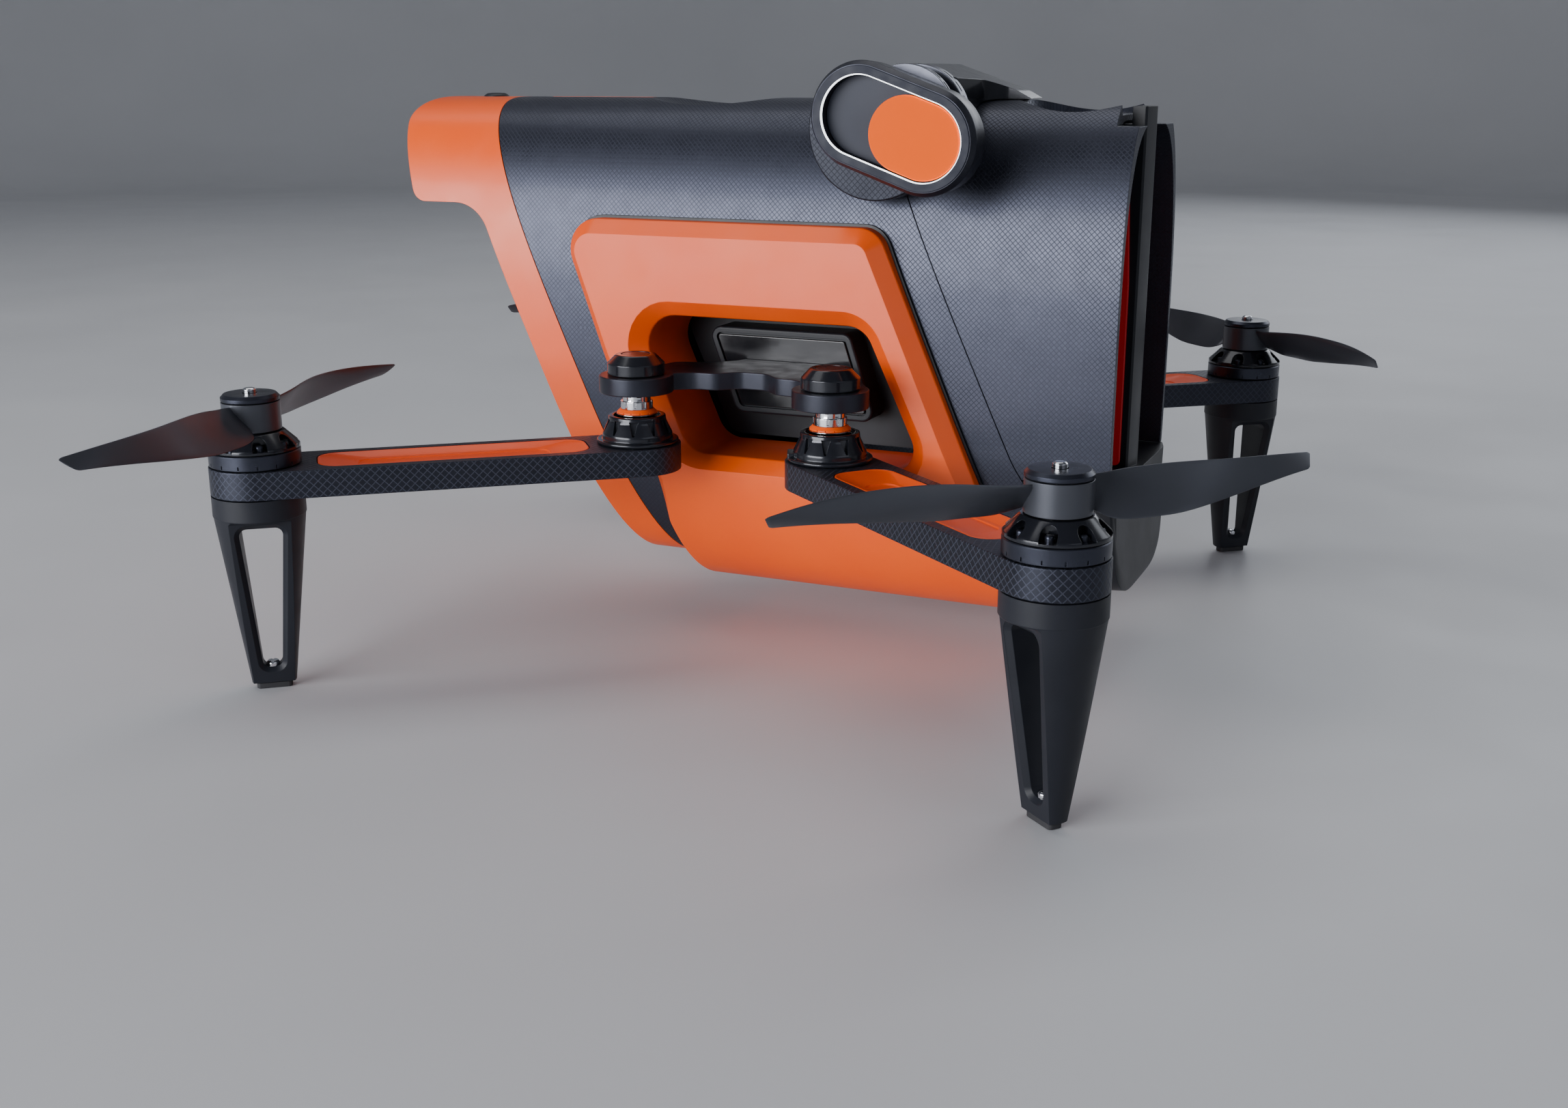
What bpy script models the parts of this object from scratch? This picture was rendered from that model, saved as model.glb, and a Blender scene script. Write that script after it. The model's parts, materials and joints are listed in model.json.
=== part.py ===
"""A folding camera drone: a tall tube body, four arms on two bridge plates, and a camera pod on a gimbal.

Sizes are in millimetres and become metres when a mesh is made. Forward, where the camera looks, is -Y,
the drone's left is +X, up is +Z, and the feet stand on z = 0. The tail with its hook is at -X.
Shapes are drawn about the middle between the four motors, which CENTRE then moves, so that the world's
origin is under the middle of the drone's box.
"""

import math

import bmesh
import bpy
from mathutils import Matrix, Vector

MM = 0.001
GAP = 0.3  # left between pieces that touch
CENTRE = (0.4, 9.8, 0.0)  # where the middle between the motors goes

# Plan of the arms: pivots and motors, from the body's middle.
PIVOT_X, PIVOT_Y = 32.1, 63.6
MOTOR_X, MOTOR_Y = 119.4, 135.5
ARM_LENGTH = math.hypot(MOTOR_X - PIVOT_X, MOTOR_Y - PIVOT_Y)
ARM_RADIUS = 13.3
ARM_BOTTOM, ARM_TOP = 60.6, 68.9
BLADE_RADIUS = 76.2  # a 6 inch propeller

# Each corner: side along X, side along Y, direction of its blades in degrees, and the way they turn.
CORNERS = {
    "front_left": (1, -1, 50.0, 1),
    "front_right": (-1, -1, 93.5, -1),
    "rear_left": (1, 1, -48.0, -1),
    "rear_right": (-1, 1, -132.8, 1),
}

# Cross-section of the body, a superellipse with its own power above and below the middle.
HALF_WIDTH = 37.5
MIDDLE_Z, TOP_Z, BOTTOM_Z = 95.0, 171.0, 20.0
TOP_POWER, BOTTOM_POWER = 3.0, 3.3
WALL, ROOF = 2.4, 6.0
TAIL_X, NOSE_X = -150.0, 109.3

# Side frames: how far they stand out, and their edge chamfer.
FRAME_Y, FRAME_BOTTOM, FRAME_BEND_Z = 46.0, 13.0, 75.0
CHAMFER = 5.0
TUNNEL_END = 14.0

# Bridge plates and the clamp stack over each pivot.
PLATE_BOTTOM, PLATE_TOP, PLATE_RING = 84.7, 90.0, 11.35

# Camera pod: centres of its two round ends in the XZ plane, and the axis that it turns about.
POD_HIGH_END, POD_LOW_END = (38.0, 167.0), (57.3, 160.0)
POD_AXIS = (47.5, 166.0)
POD_FACE, POD_BACK = -60.0, -48.4

PALETTE = {
    "carbon": ((0.035, 0.040, 0.060), 0.45, 0.0),
    "orange_plastic": ((1.0, 0.16, 0.01), 0.42, 0.0),
    "black_metal": ((0.020, 0.022, 0.032), 0.30, 0.9),
    "black_plastic": ((0.014, 0.015, 0.020), 0.45, 0.0),
    "chrome": ((0.80, 0.80, 0.82), 0.08, 1.0),
    "red_lens": ((0.35, 0.0, 0.004), 0.35, 0.0),
    "rubber": ((0.012, 0.012, 0.014), 0.80, 0.0),
}


# Outlines


def rounded(corners, radii, inset=0.0, steps=4):
    """A counter-clockwise polygon with rounded corners, with every side moved inward by inset."""
    points = []
    for index, (corner, radius) in enumerate(zip(corners, radii)):
        here = Vector(corner)
        arriving = (here - Vector(corners[index - 1])).normalized()
        leaving = (Vector(corners[(index + 1) % len(corners)]) - here).normalized()
        inward = Vector((-arriving.y, arriving.x))
        inward_after = Vector((-leaving.y, leaving.x))
        here += (inward + inward_after) * inset / (1 + arriving.dot(leaving))
        turn = math.atan2(arriving.cross(leaving), arriving.dot(leaving))
        side = math.copysign(1.0, turn)
        radius = max(radius - side * inset, 0.3)
        start = here - arriving * radius * math.tan(abs(turn) / 2)
        centre = start + inward * side * radius
        for step in range(steps + 1):
            points.append(centre + Matrix.Rotation(turn * step / steps, 2) @ (start - centre))
    return [tuple(point) for point in points]


def arc(centre, radius, first, last, steps):
    """Points on a circle from one angle to another, in degrees."""
    angles = [math.radians(first + (last - first) * step / steps) for step in range(steps + 1)]
    return [(centre[0] + radius * math.cos(a), centre[1] + radius * math.sin(a)) for a in angles]


def circle(centre, radius, segments=32):
    return arc(centre, radius, 0, 360, segments)[:-1]


def stadium(low, high, radius, steps=10):
    """A slot outline round two centres, counter-clockwise."""
    along = math.degrees(math.atan2(high[1] - low[1], high[0] - low[0]))
    return arc(high, radius, along - 90, along + 90, steps) + arc(low, radius, along + 90, along + 270, steps)


def section(outset=0.0, roof=0.0, keel=0.0, bottom_power=BOTTOM_POWER, count=44):
    """The body's cross-section in the YZ plane, moved outward, with its roof lowered and its keel raised."""
    points = []
    for step in range(count):
        angle = 2 * math.pi * (step + 0.5) / count
        cosine, sine = math.cos(angle), math.sin(angle)
        power = TOP_POWER if sine > 0 else bottom_power
        height = TOP_Z - MIDDLE_Z - roof if sine > 0 else MIDDLE_Z - BOTTOM_Z - keel
        y = (HALF_WIDTH + outset) * math.copysign(abs(cosine) ** (2 / power), cosine)
        z = (height + outset) * math.copysign(abs(sine) ** (2 / power), sine)
        points.append((y, MIDDLE_Z + z))
    return points


# Meshes


def mesh_of(points, faces):
    """A mesh in metres with its faces pointing out."""
    mesh = bpy.data.meshes.new("piece")
    mesh.from_pydata([Vector(point) * MM for point in points], [], faces)
    shape = bmesh.new()
    shape.from_mesh(mesh)
    bmesh.ops.recalc_face_normals(shape, faces=shape.faces)
    shape.to_mesh(mesh)
    shape.free()
    return mesh


def loft(rings):
    """Joins rings of equal length, and closes both ends."""
    count = len(rings[0])
    faces = [tuple(range(count)), tuple(range(len(rings) * count - count, len(rings) * count))]
    for start in range(0, (len(rings) - 1) * count, count):
        for step in range(count):
            after = (step + 1) % count
            faces.append((start + step, start + after, start + count + after, start + count + step))
    return mesh_of([point for ring in rings for point in ring], faces)


def on_axis(outline, axis, height):
    """Puts a flat outline at a height along the X, Y or Z axis."""
    if axis == "x":
        return [(height, u, v) for u, v in outline]
    if axis == "y":
        return [(u, height, v) for u, v in outline]
    return [(u, v, height) for u, v in outline]


def prism(outline, axis, low, high):
    return loft([on_axis(outline, axis, low), on_axis(outline, axis, high)])


def layers(axis, *levels):
    """A loft through (height, outline) levels along an axis."""
    return loft([on_axis(outline, axis, height) for height, outline in levels])


def lathe(profile, segments, centre=(0.0, 0.0), axis="z"):
    """Turns (radius, height) points about a line along an axis. A profile off the axis closes into a ring."""
    points, rows = [], []
    for radius, height in profile:
        ring = circle(centre, radius, segments) if radius > 0 else [centre]
        rows.append([len(points) + step for step in range(len(ring))])
        points += on_axis(ring, axis, height)
    pairs = list(zip(rows, rows[1:]))
    if profile[0][0] > 0:
        pairs.append((rows[-1], rows[0]))
    faces = []
    for lower, upper in pairs:
        for step in range(segments):
            after = (step + 1) % segments
            corners = [lower[step % len(lower)], lower[after % len(lower)]]
            corners += [upper[after % len(upper)], upper[step % len(upper)]]
            faces.append(tuple(dict.fromkeys(corners)))
    return mesh_of(points, faces)


def combine(mesh, tool, operation):
    """The Boolean of two meshes, with its flat faces joined up again."""
    body = bpy.data.objects.new("body", mesh)
    cutter = bpy.data.objects.new("cutter", tool)
    for helper in (body, cutter):
        bpy.context.scene.collection.objects.link(helper)
    boolean = body.modifiers.new("boolean", "BOOLEAN")
    boolean.operation = operation
    boolean.object = cutter
    bpy.context.view_layer.update()
    result = bpy.data.meshes.new_from_object(body.evaluated_get(bpy.context.evaluated_depsgraph_get()))
    for helper in (body, cutter):
        bpy.data.objects.remove(helper)
    shape = bmesh.new()
    shape.from_mesh(result)
    bmesh.ops.remove_doubles(shape, verts=shape.verts, dist=2e-6)
    bmesh.ops.dissolve_limit(shape, angle_limit=math.radians(0.2), verts=shape.verts, edges=shape.edges)
    shape.to_mesh(result)
    shape.free()
    return result


def cut(mesh, *tools):
    for tool in tools:
        mesh = combine(mesh, tool, "DIFFERENCE")
    return mesh


def join(mesh, *tools):
    for tool in tools:
        mesh = combine(mesh, tool, "UNION")
    return mesh


def common(mesh, *tools):
    for tool in tools:
        mesh = combine(mesh, tool, "INTERSECT")
    return mesh


def mirrored(mesh, axis):
    """A copy of a mesh mirrored across x = 0 or y = 0."""
    copy = mesh.copy()
    copy.transform(Matrix.Scale(-1, 4, Vector((1, 0, 0)) if axis == "x" else Vector((0, 1, 0))))
    copy.flip_normals()
    return copy


def box(low, high):
    outline = [(low[0], low[1]), (high[0], low[1]), (high[0], high[1]), (low[0], high[1])]
    return prism(outline, "z", low[2], high[2])


# Objects


def material(name):
    colour, roughness, metallic = PALETTE[name]
    made = bpy.data.materials.new(name)
    made.use_nodes = True
    shader = made.node_tree.nodes["Principled BSDF"]
    shader.inputs["Base Color"].default_value = (*colour, 1.0)
    shader.inputs["Roughness"].default_value = roughness
    shader.inputs["Metallic"].default_value = metallic
    return made


def empty(name, parent, location=(0.0, 0.0, 0.0), turn=0.0):
    """An empty that carries pieces; turn is about Z, in degrees."""
    made = bpy.data.objects.new(name, None)
    bpy.context.scene.collection.objects.link(made)
    made.parent = parent
    made.location = Vector(location) * MM
    made.rotation_euler = (0.0, 0.0, math.radians(turn))
    return made


def node(name, mesh, finish, parent):
    """A visible piece with its own material, shaded smooth between sharp edges."""
    piece = bpy.data.objects.new(name, mesh.copy())
    bpy.context.scene.collection.objects.link(piece)
    piece.parent = parent
    piece.data.materials.clear()
    piece.data.materials.append(material(finish))
    piece.data.shade_smooth()
    piece.data.set_sharp_from_angle(angle=math.radians(35))
    return piece


# Body shells

TAIL_SEAM = [(-35.0, 16.0), (-57.4, 60.0), (-107.1, 172.0)]
TAIL_SIDE = [(-141.5, 171.4), (-130.6, 137.4), (-105.6, 137.4), (-71.3, 60.0), (-48.2, 16.0)]
TAIL_RADII = (0.3, 60.0, 0.3, 7.0, 5.5, 14.0, 60.0, 0.3)
NOSE_SEAM = [(101.0, 15.0), (97.0, 40.0), (80.0, 66.0), (28.0, 178.0)]
NOSE_SEAM_RADII = (0.3, 14.0, 40.0, 0.3)
DISH_MIDDLE = (-33.0, 23.0, 4.3)
DISH_NOSE = (88.5, 20.2, 4.2)
BUTTON = (-119.5, 0.0)
BUTTON_RADIUS, BUTTON_BOTTOM = 4.3, 169.1
BUTTON_TRAVEL = 0.8


def shell_band(outline):
    """The part of the body's tube that lies between two lines seen from the side."""
    solid = common(prism(section(), "x", TAIL_X, NOSE_X), prism(outline, "y", -60, 60))
    return cut(solid, prism(section(-WALL, ROOF - WALL), "x", TAIL_X - 10, NOSE_X + 10))


def dish(place):
    """A shallow round hollow in the roof: its place along X, its rim radius and its depth."""
    x, rim, depth = place
    ball = (rim**2 + depth**2) / (2 * depth)
    rise = [depth + 3.0 - (depth + 3.0) * (1 - step / 5) ** 2 for step in range(6)]
    floor = TOP_Z - depth
    profile = [(0.0, floor)]
    profile += [(math.sqrt(2 * ball * up - up**2), floor + up) for up in rise[1:]]
    profile.append((0.0, floor + rise[-1]))
    return lathe(profile, 32, (x, 0.0))


def steep_dish(place):
    """The same with a flat floor and a steep wall."""
    x, rim, depth = place
    profile = [(0.0, TOP_Z - depth), (rim - 1.8, TOP_Z - depth), (rim, TOP_Z)]
    return lathe([*profile, (rim, TOP_Z + 4), (0.0, TOP_Z + 4)], 32, (x, 0.0))


def main_shell():
    left = [(x + GAP, z) for x, z in TAIL_SEAM]
    right = [(x - GAP / 2, z) for x, z in NOSE_SEAM]
    outline = rounded(left[:1] + right + left[:0:-1], (0.3, *NOSE_SEAM_RADII, 0.3, 60.0), steps=3)
    tunnel = prism(rounded(TUNNEL, TUNNEL_RADII, -LINER - GAP), "y", -60, 60)
    return cut(shell_band(outline), tunnel, dish(DISH_MIDDLE))


def nose_side():
    """Outline of what lies beyond the seam of the nose, seen from the side."""
    left = [(x + GAP / 2, z) for x, z in NOSE_SEAM]
    return rounded([left[0], (130, 15), (130, 178), *left[:0:-1]], (0.3, 0.3, 0.3, 0.3, 40.0, 14.0), steps=3)


def nose_shell():
    notch = [(100.5, 0), (103.2, -26), (115, -60), (115, 60), (103.2, 26)]
    below = box((60, -60, 0), (130, 60, PLUG_TOP + GAP))
    return cut(shell_band(nose_side()), below, prism(notch, "z", NOTCH_Z, 190), steep_dish(DISH_NOSE))


def tail_cap():
    """The tail ring with its hook: a cup open towards the main shell, with a pocket for the button."""
    outline = rounded(TAIL_SEAM + TAIL_SIDE, TAIL_RADII, steps=4)
    solid = common(prism(section(), "x", TAIL_X, 0), prism(outline, "y", -60, 60))
    beyond = [(x + 20, z) for x, z in TAIL_SEAM]
    hollow = rounded(beyond + TAIL_SIDE, TAIL_RADII, WALL, steps=4)
    inside = common(prism(section(-WALL, ROOF - WALL), "x", TAIL_X, 40), prism(hollow, "y", -60, 60))
    pocket_floor = BUTTON_BOTTOM - BUTTON_TRAVEL - GAP
    pocket = prism(circle(BUTTON, BUTTON_RADIUS + GAP, 20), "z", pocket_floor, 180)
    return cut(solid, inside, pocket)


# Side frames, with the tunnels through them

FRAME = [(-27.0, 8.0), (93.5, 8.0), (70.2, 61.3), (37.9, 135.3), (-73.0, 135.3), (-55.7, 87.2), (-38.0, 53.0)]
FRAME_RADII = (0.3, 0.3, 60.0, 9.5, 11.0, 80.0, 80.0)
TUNNEL = [(-25.6, 61.7), (54.0, 61.7), (33.5, 105.1), (-44.6, 105.1)]
TUNNEL_RADII = (9.0, 7.0, 8.5, 9.5)
LINER = 2.8


def frame_profile():
    """Outside of a front frame in the YZ plane: upright, then curving in under the body."""
    points = []
    for step in range(10):
        angle = math.pi / 2 * step / 9
        y = FRAME_Y * math.cos(angle) ** (2 / 2.6)
        z = FRAME_BEND_Z - (FRAME_BEND_Z - FRAME_BOTTOM) * math.sin(angle) ** (2 / 2.6)
        points.append((-max(y, GAP / 2), z))
    return [(-GAP / 2, 150.0), (-FRAME_Y, 150.0), *points]


def front_frame():
    side = common(
        prism(frame_profile(), "x", -90, 110),
        layers(
            "y",
            (-FRAME_Y, rounded(FRAME, FRAME_RADII, CHAMFER, steps=3)),
            (CHAMFER - FRAME_Y, rounded(FRAME, FRAME_RADII, steps=3)),
            (10.0, rounded(FRAME, FRAME_RADII, steps=3)),
        ),
    )
    side = cut(side, prism(section(GAP), "x", -120, 140))
    side = join(side, prism(rounded(TUNNEL, TUNNEL_RADII, -LINER), "y", -FRAME_Y + CHAMFER + 1, -TUNNEL_END))
    opening = layers(
        "y",
        (-FRAME_Y - 1, rounded(TUNNEL, TUNNEL_RADII, -CHAMFER - 1)),
        (-FRAME_Y + CHAMFER, rounded(TUNNEL, TUNNEL_RADII)),
        (-TUNNEL_END + 1, rounded(TUNNEL, TUNNEL_RADII)),
    )
    return cut(side, opening)


# Inside the tunnel, and the nose end

PACK_FACE = [(-17.0, 72.4), (31.5, 72.4), (22.2, 100.1), (-27.5, 100.1)]
PACK_DEPTH, PACK_CORE = 24.0, 13.0
NOTCH_Z = 163.8
SPINE_HALF, SPINE_TOP = 7.5, 169.2
PLUG_TOP = 61.5


def battery_pack():
    core = rounded([(-24, 63), (50, 63), (34, 104), (-42, 104)], (5.0,) * 4, steps=2)
    face = rounded(PACK_FACE, (4.0, 3.5, 3.5, 3.5), steps=3)
    edge = rounded(PACK_FACE, (4.0, 3.5, 3.5, 3.5), 0.8, steps=3)
    flank = PACK_DEPTH - 0.8
    pad = layers("y", (-PACK_DEPTH, edge), (-flank, face), (flank, face), (PACK_DEPTH, edge))
    return join(prism(core, "y", -PACK_CORE, PACK_CORE), pad)


def nose_plug():
    """The rounded end of the lower nose, leaning outward, with a root inside the shells."""
    levels = ((70, 0.3, 2.0, 0.0), (100, 0.3, 2.0, 0.0), (105, 0.3, 4.5, 0.02), (109, 0.3, 5.0, 0.09))
    levels += ((109.8, 1.8, 8.0, 0.09),)
    rings = []
    for x, inset, keel, lean in levels:
        outline = section(-inset, keel=keel, bottom_power=4.5)
        rings.append([(x + lean * max(PLUG_TOP - z, 0.0), y, z) for y, z in outline])
    end = common(loft(rings), prism(nose_side(), "y", -60, 60))
    root = prism(section(-WALL - GAP, keel=3.0), "x", 82, 105)
    return cut(join(end, root), box((60, -60, PLUG_TOP), (120, 60, 200)))


def nose_frame():
    """A bulkhead with an upright spine, and the plug below them."""
    bulkhead = prism(section(-WALL - GAP, ROOF - WALL), "x", 94.0, 96.6)
    spine = [(95, -SPINE_HALF), (107.6, -SPINE_HALF), (109.1, 0), (107.6, SPINE_HALF), (95, SPINE_HALF)]
    roof_clearance = box((90, -20, TOP_Z - ROOF - 3 * GAP), (103.6, 20, 190))
    spine = cut(prism(spine, "z", PLUG_TOP - 10, SPINE_TOP), roof_clearance)
    return join(nose_plug(), bulkhead, spine)


def light_strip():
    return box((99.6, -SPINE_HALF - GAP - 0.9, PLUG_TOP + GAP), (105.8, -SPINE_HALF - GAP, 152.0))


# Bridge plates and pivots


def bridge_plate():
    """The front plate: a ring over each pivot, and a tongue that runs back to the battery pack."""
    pivot = (PIVOT_X, -PIVOT_Y)
    half = [(4.6, -47.8), (8.2, -51.4), (10.6, -53.7), (17.4, -53.9)]
    half += arc(pivot, PLATE_RING, 150, 405, 17)
    half += [(35.2, -47.5), (33.0, -44.0), (32.4, -39.0), (30.0, -36.8), (22.0, -35.0), (15.5, -29.5)]
    half.append((13.5, -PACK_DEPTH - GAP))
    outline = half + [(-x, y) for x, y in reversed(half)]
    plate = prism(outline, "z", PLATE_BOTTOM, PLATE_TOP)
    bores = [prism(circle((side * PIVOT_X, -PIVOT_Y), 3.4, 16), "z", 80, 95) for side in (1, -1)]
    return cut(plate, *bores)


def pivot_spindle():
    """Chrome spindle with its flared ring, bored for the knob's stem."""
    profile = [(0, 61.6), (3.9, 61.6), (3.9, 77.2), (6.15, 78.5), (6.15, 79.5), (4.9, 79.5), (4.9, 82.4)]
    profile += [(4.3, 82.4), (4.3, 84.4), (3.4, 84.4), (3.4, 80.0), (0, 80.0)]
    return lathe(profile, 14)


def pivot_collar():
    profile = [(5.2, 69.2), (12.6, 69.2), (12.6, 70.3), (10.7, 70.3), (10.7, 71.9), (8.75, 76.1)]
    profile += [(8.75, 77.6), (7.3, 77.6), (7.3, 76.0), (5.2, 76.0)]
    return lathe(profile, 20)


def clamp_knob():
    profile = [(0, 80.6), (3.0, 80.6), (3.0, 90.3), (8.75, 90.3), (8.75, 93.7), (6.0, 96.3), (0, 96.3)]
    return lathe(profile, 20)


# One arm, along +X from its pivot, with the motor at ARM_LENGTH

TRAY = [(15.5, -9.8), (96.0, -9.8), (96.0, 9.8), (15.5, 9.8)]
TRAY_FLOOR = 66.3
LEG_TOP, LEG_FLAT_TOP, LEG_BOTTOM = 60.3, 53.9, 2.0
LEG_SLOT = [(-2.7, 6.7), (2.7, 6.7), (6.3, 51.2), (-6.3, 51.2)]
SLOT_CHAMFER = 1.2


def arm():
    bar = prism(stadium((0, 0), (ARM_LENGTH, 0), ARM_RADIUS, 12), "z", ARM_BOTTOM, ARM_TOP)
    tray = prism(rounded(TRAY, (6.5,) * 4), "z", TRAY_FLOOR, ARM_TOP + 5)
    bore = prism(circle((0, 0), 4.3, 16), "z", ARM_BOTTOM - 5, ARM_TOP + 5)
    return cut(bar, tray, bore)


def arm_inlay():
    rings = ((TRAY_FLOOR + GAP, GAP), (ARM_TOP - 0.2, GAP), (ARM_TOP - 0.2, 1.1), (67.1, 2.8))
    return layers("z", *((height, rounded(TRAY, (6.5,) * 4, inset)) for height, inset in rings))


def leg_flat(height):
    """Distance of a leg's flat from its axis at a height."""
    return 2.4 + (height / LEG_FLAT_TOP) * 7.2


def leg():
    """A tapered leg with two flats and a slot through them, about the Z axis."""
    profile = [(0, LEG_BOTTOM), (6.5, LEG_BOTTOM), (13.1, LEG_FLAT_TOP), (ARM_RADIUS, 54.2)]
    body = lathe([*profile, (ARM_RADIUS, LEG_TOP), (0, LEG_TOP)], 28)
    flat = [(leg_flat(0), 0), (30, 0), (30, LEG_FLAT_TOP), (leg_flat(LEG_FLAT_TOP), LEG_FLAT_TOP)]
    body = cut(body, prism(flat, "x", -30, 30), prism([(-y, z) for y, z in flat], "x", -30, 30))
    slot = rounded(LEG_SLOT, (2.2,) * 4, steps=3)
    mouth = rounded(LEG_SLOT, (2.2,) * 4, -SLOT_CHAMFER, steps=3)
    body = cut(body, prism(slot, "y", -20, 20))
    for side in (1, -1):
        inner = [(x, side * (leg_flat(z) - SLOT_CHAMFER), z) for x, z in slot]
        outer = [(x, side * (leg_flat(z) + 0.05), z) for x, z in mouth]
        beyond = [(x, side * (leg_flat(z) + 4.0), z) for x, z in mouth]
        body = cut(body, loft([inner, outer, beyond]))
    return body


def foot_pad():
    pad = [(-5.2, -2.1), (5.2, -2.1), (5.2, 2.1), (-5.2, 2.1)]
    return prism(rounded(pad, (1.2,) * 4, steps=2), "z", 0, LEG_BOTTOM - GAP)


# Motor and propeller, about the motor's axis


def motor_base():
    profile = [(2.4, 69.2), (12.7, 69.2), (13.06, 69.6), (13.06, 73.1), (12.7, 73.5), (2.4, 73.5)]
    return lathe(profile, 24)


def rotor_bell():
    """Sloped bell, the hub that the propeller slips over, and the shaft."""
    profile = [(0, 70.0), (1.83, 70.0), (1.83, 75.8), (9.2, 75.8), (11.6, 73.8), (13.0, 73.8), (13.0, 74.9)]
    profile += [(8.4, 79.0), (6.6, 79.0), (6.6, 87.5), (1.83, 87.5), (1.83, 90.9), (1.4, 91.3), (0, 91.3)]
    return lathe(profile, 20)


def hub_cap():
    return lathe([(2.1, 87.8), (8.3, 87.8), (8.3, 89.0), (7.5, 89.8), (2.1, 89.8)], 20)


def blade(turn):
    """One steep, twisted blade along +X, from the hub's wall to a tip that is cut off at a slant."""
    stations = [  # distance out, offset and height of the upper edge, then of the lower edge
        (7.7, 0.9, 86.8, 6.6, -4.6, 80.2),
        (10.5, 1.2, 87.0, 8.8, -7.2, 78.8),
        (14.0, 1.0, 87.2, 13.0, -8.3, 77.9),
        (20.0, 0.3, 87.8, 20.0, -9.2, 77.8),
        (28.0, -1.7, 88.4, 28.0, -9.5, 77.9),
        (36.0, -3.5, 88.6, 36.0, -9.2, 78.7),
        (46.0, -4.6, 88.4, 46.0, -8.0, 79.9),
        (56.0, -4.3, 88.0, 56.0, -6.6, 81.2),
        (66.0, -2.7, 87.3, 66.0, -5.0, 82.3),
        (BLADE_RADIUS, -0.3, 86.3, 73.4, -3.8, 82.9),
    ]
    rings = []
    for station in stations:
        upper, lower = Vector(station[:3]), Vector(station[3:])
        chord = lower - upper
        across = Vector((0.0, chord.z, -chord.y)).normalized()
        thickness = 0.5 + 0.9 * (1 - station[0] / BLADE_RADIUS)
        ring = []
        for along, lift in ((0.0, -0.2), (0.3, -0.9), (0.7, -0.9), (1.0, -0.2), (0.7, 0.1), (0.3, 0.1)):
            point = upper + chord * along + across * lift * thickness
            ring.append((point.x, turn * point.y, point.z))
        rings.append(ring)
    return loft(rings)


def propeller(turn):
    hub = lathe([(6.9, 79.3), (8.3, 79.3), (8.3, 87.5), (6.9, 87.5)], 20)
    opposite = blade(turn)
    opposite.transform(Matrix.Rotation(math.pi, 4, "Z"))
    return join(hub, blade(turn), opposite)


# Camera mount, gimbal arm, pod and cover, and the button


def camera_mount():
    """A round boss on the shoulder of the body, flat on top, with a pocket for the gimbal's drum."""
    boss = prism(circle((37.0, 163.0), 20.5, 36), "y", -44, 0)
    pocket = prism(circle(POD_AXIS, 15.5), "y", -60, -32.6)
    return cut(boss, box((0, -60, 170.3), (80, 10, 200)), prism(section(GAP), "x", 0, 80), pocket)


def gimbal_arm():
    """A spool-shaped drum behind the pod, and a fin that carries it from the roof."""
    spool = [(0, -48.0), (15.0, -48.0), (15.0, -45.0), (11.5, -45.0), (11.5, -38.0), (15.0, -38.0)]
    drum = lathe([*spool, (15.0, -33.0), (0, -33.0)], 28, POD_AXIS, "y")
    side = [(40, 170.8), (57.8, 170.8), (59, 166), (74, 166), (74, 170.6)]
    side += [(68.4, 173.6), (46.4, 181.2), (40, 181.2)]
    plan = [(40, -34.5), (58, -34.5), (59.6, -12), (64, -7.5), (75, -6.5), (75, 6), (40, 6)]
    fin = common(prism(side, "y", -40, 10), prism(plan, "z", 150, 190))
    return cut(join(drum, fin), prism(section(GAP), "x", 0, 100))


def pod_housing():
    outside = layers(
        "y",
        (POD_BACK, stadium(POD_HIGH_END, POD_LOW_END, 14.6)),
        (POD_FACE + 2.6, stadium(POD_HIGH_END, POD_LOW_END, 15.0)),
        (POD_FACE, stadium(POD_HIGH_END, POD_LOW_END, 13.6)),
    )
    return cut(outside, prism(stadium(POD_HIGH_END, POD_LOW_END, 10.95), "y", -70, -54.5))


def lens_cover():
    """A short slot-shaped cover over the low end of the pod's window."""
    slide = (Vector(POD_HIGH_END) - Vector(POD_LOW_END)).normalized()
    near = tuple(Vector(POD_LOW_END) + slide * 6.0)
    rings = ((-54.9, 10.6), (-59.0, 10.6), (-59.4, 10.2))
    return layers("y", *((y, stadium(near, POD_LOW_END, radius)) for y, radius in rings))


def power_button():
    side = [(0, BUTTON_BOTTOM), (BUTTON_RADIUS, BUTTON_BOTTOM), (BUTTON_RADIUS, 171.2)]
    return lathe([*side, (3.2, 171.9), (1.6, 172.2), (0, 172.2)], 20)


# Assembly


def build_body(drone):
    front = front_frame()
    plate = bridge_plate()
    strip = light_strip()
    node("main_shell", main_shell(), "carbon", drone)
    node("nose_shell", nose_shell(), "carbon", drone)
    node("tail_cap", tail_cap(), "orange_plastic", drone)
    node("front_side_frame", front, "orange_plastic", drone)
    node("rear_side_frame", mirrored(front, "y"), "orange_plastic", drone)
    node("battery_pack", battery_pack(), "black_plastic", drone)
    node("nose_frame", nose_frame(), "black_plastic", drone)
    node("front_light_strip", strip, "red_lens", drone)
    node("rear_light_strip", mirrored(strip, "y"), "red_lens", drone)
    node("front_bridge_plate", plate, "black_metal", drone)
    node("rear_bridge_plate", mirrored(plate, "y"), "black_metal", drone)
    node("camera_mount", camera_mount(), "carbon", drone)
    node("gimbal_arm", gimbal_arm(), "black_metal", drone)


def turned_about(mesh, axis_point):
    """Moves a mesh so that a point of it becomes its origin."""
    mesh.transform(Matrix.Translation(-Vector(axis_point) * MM))
    return mesh


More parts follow.
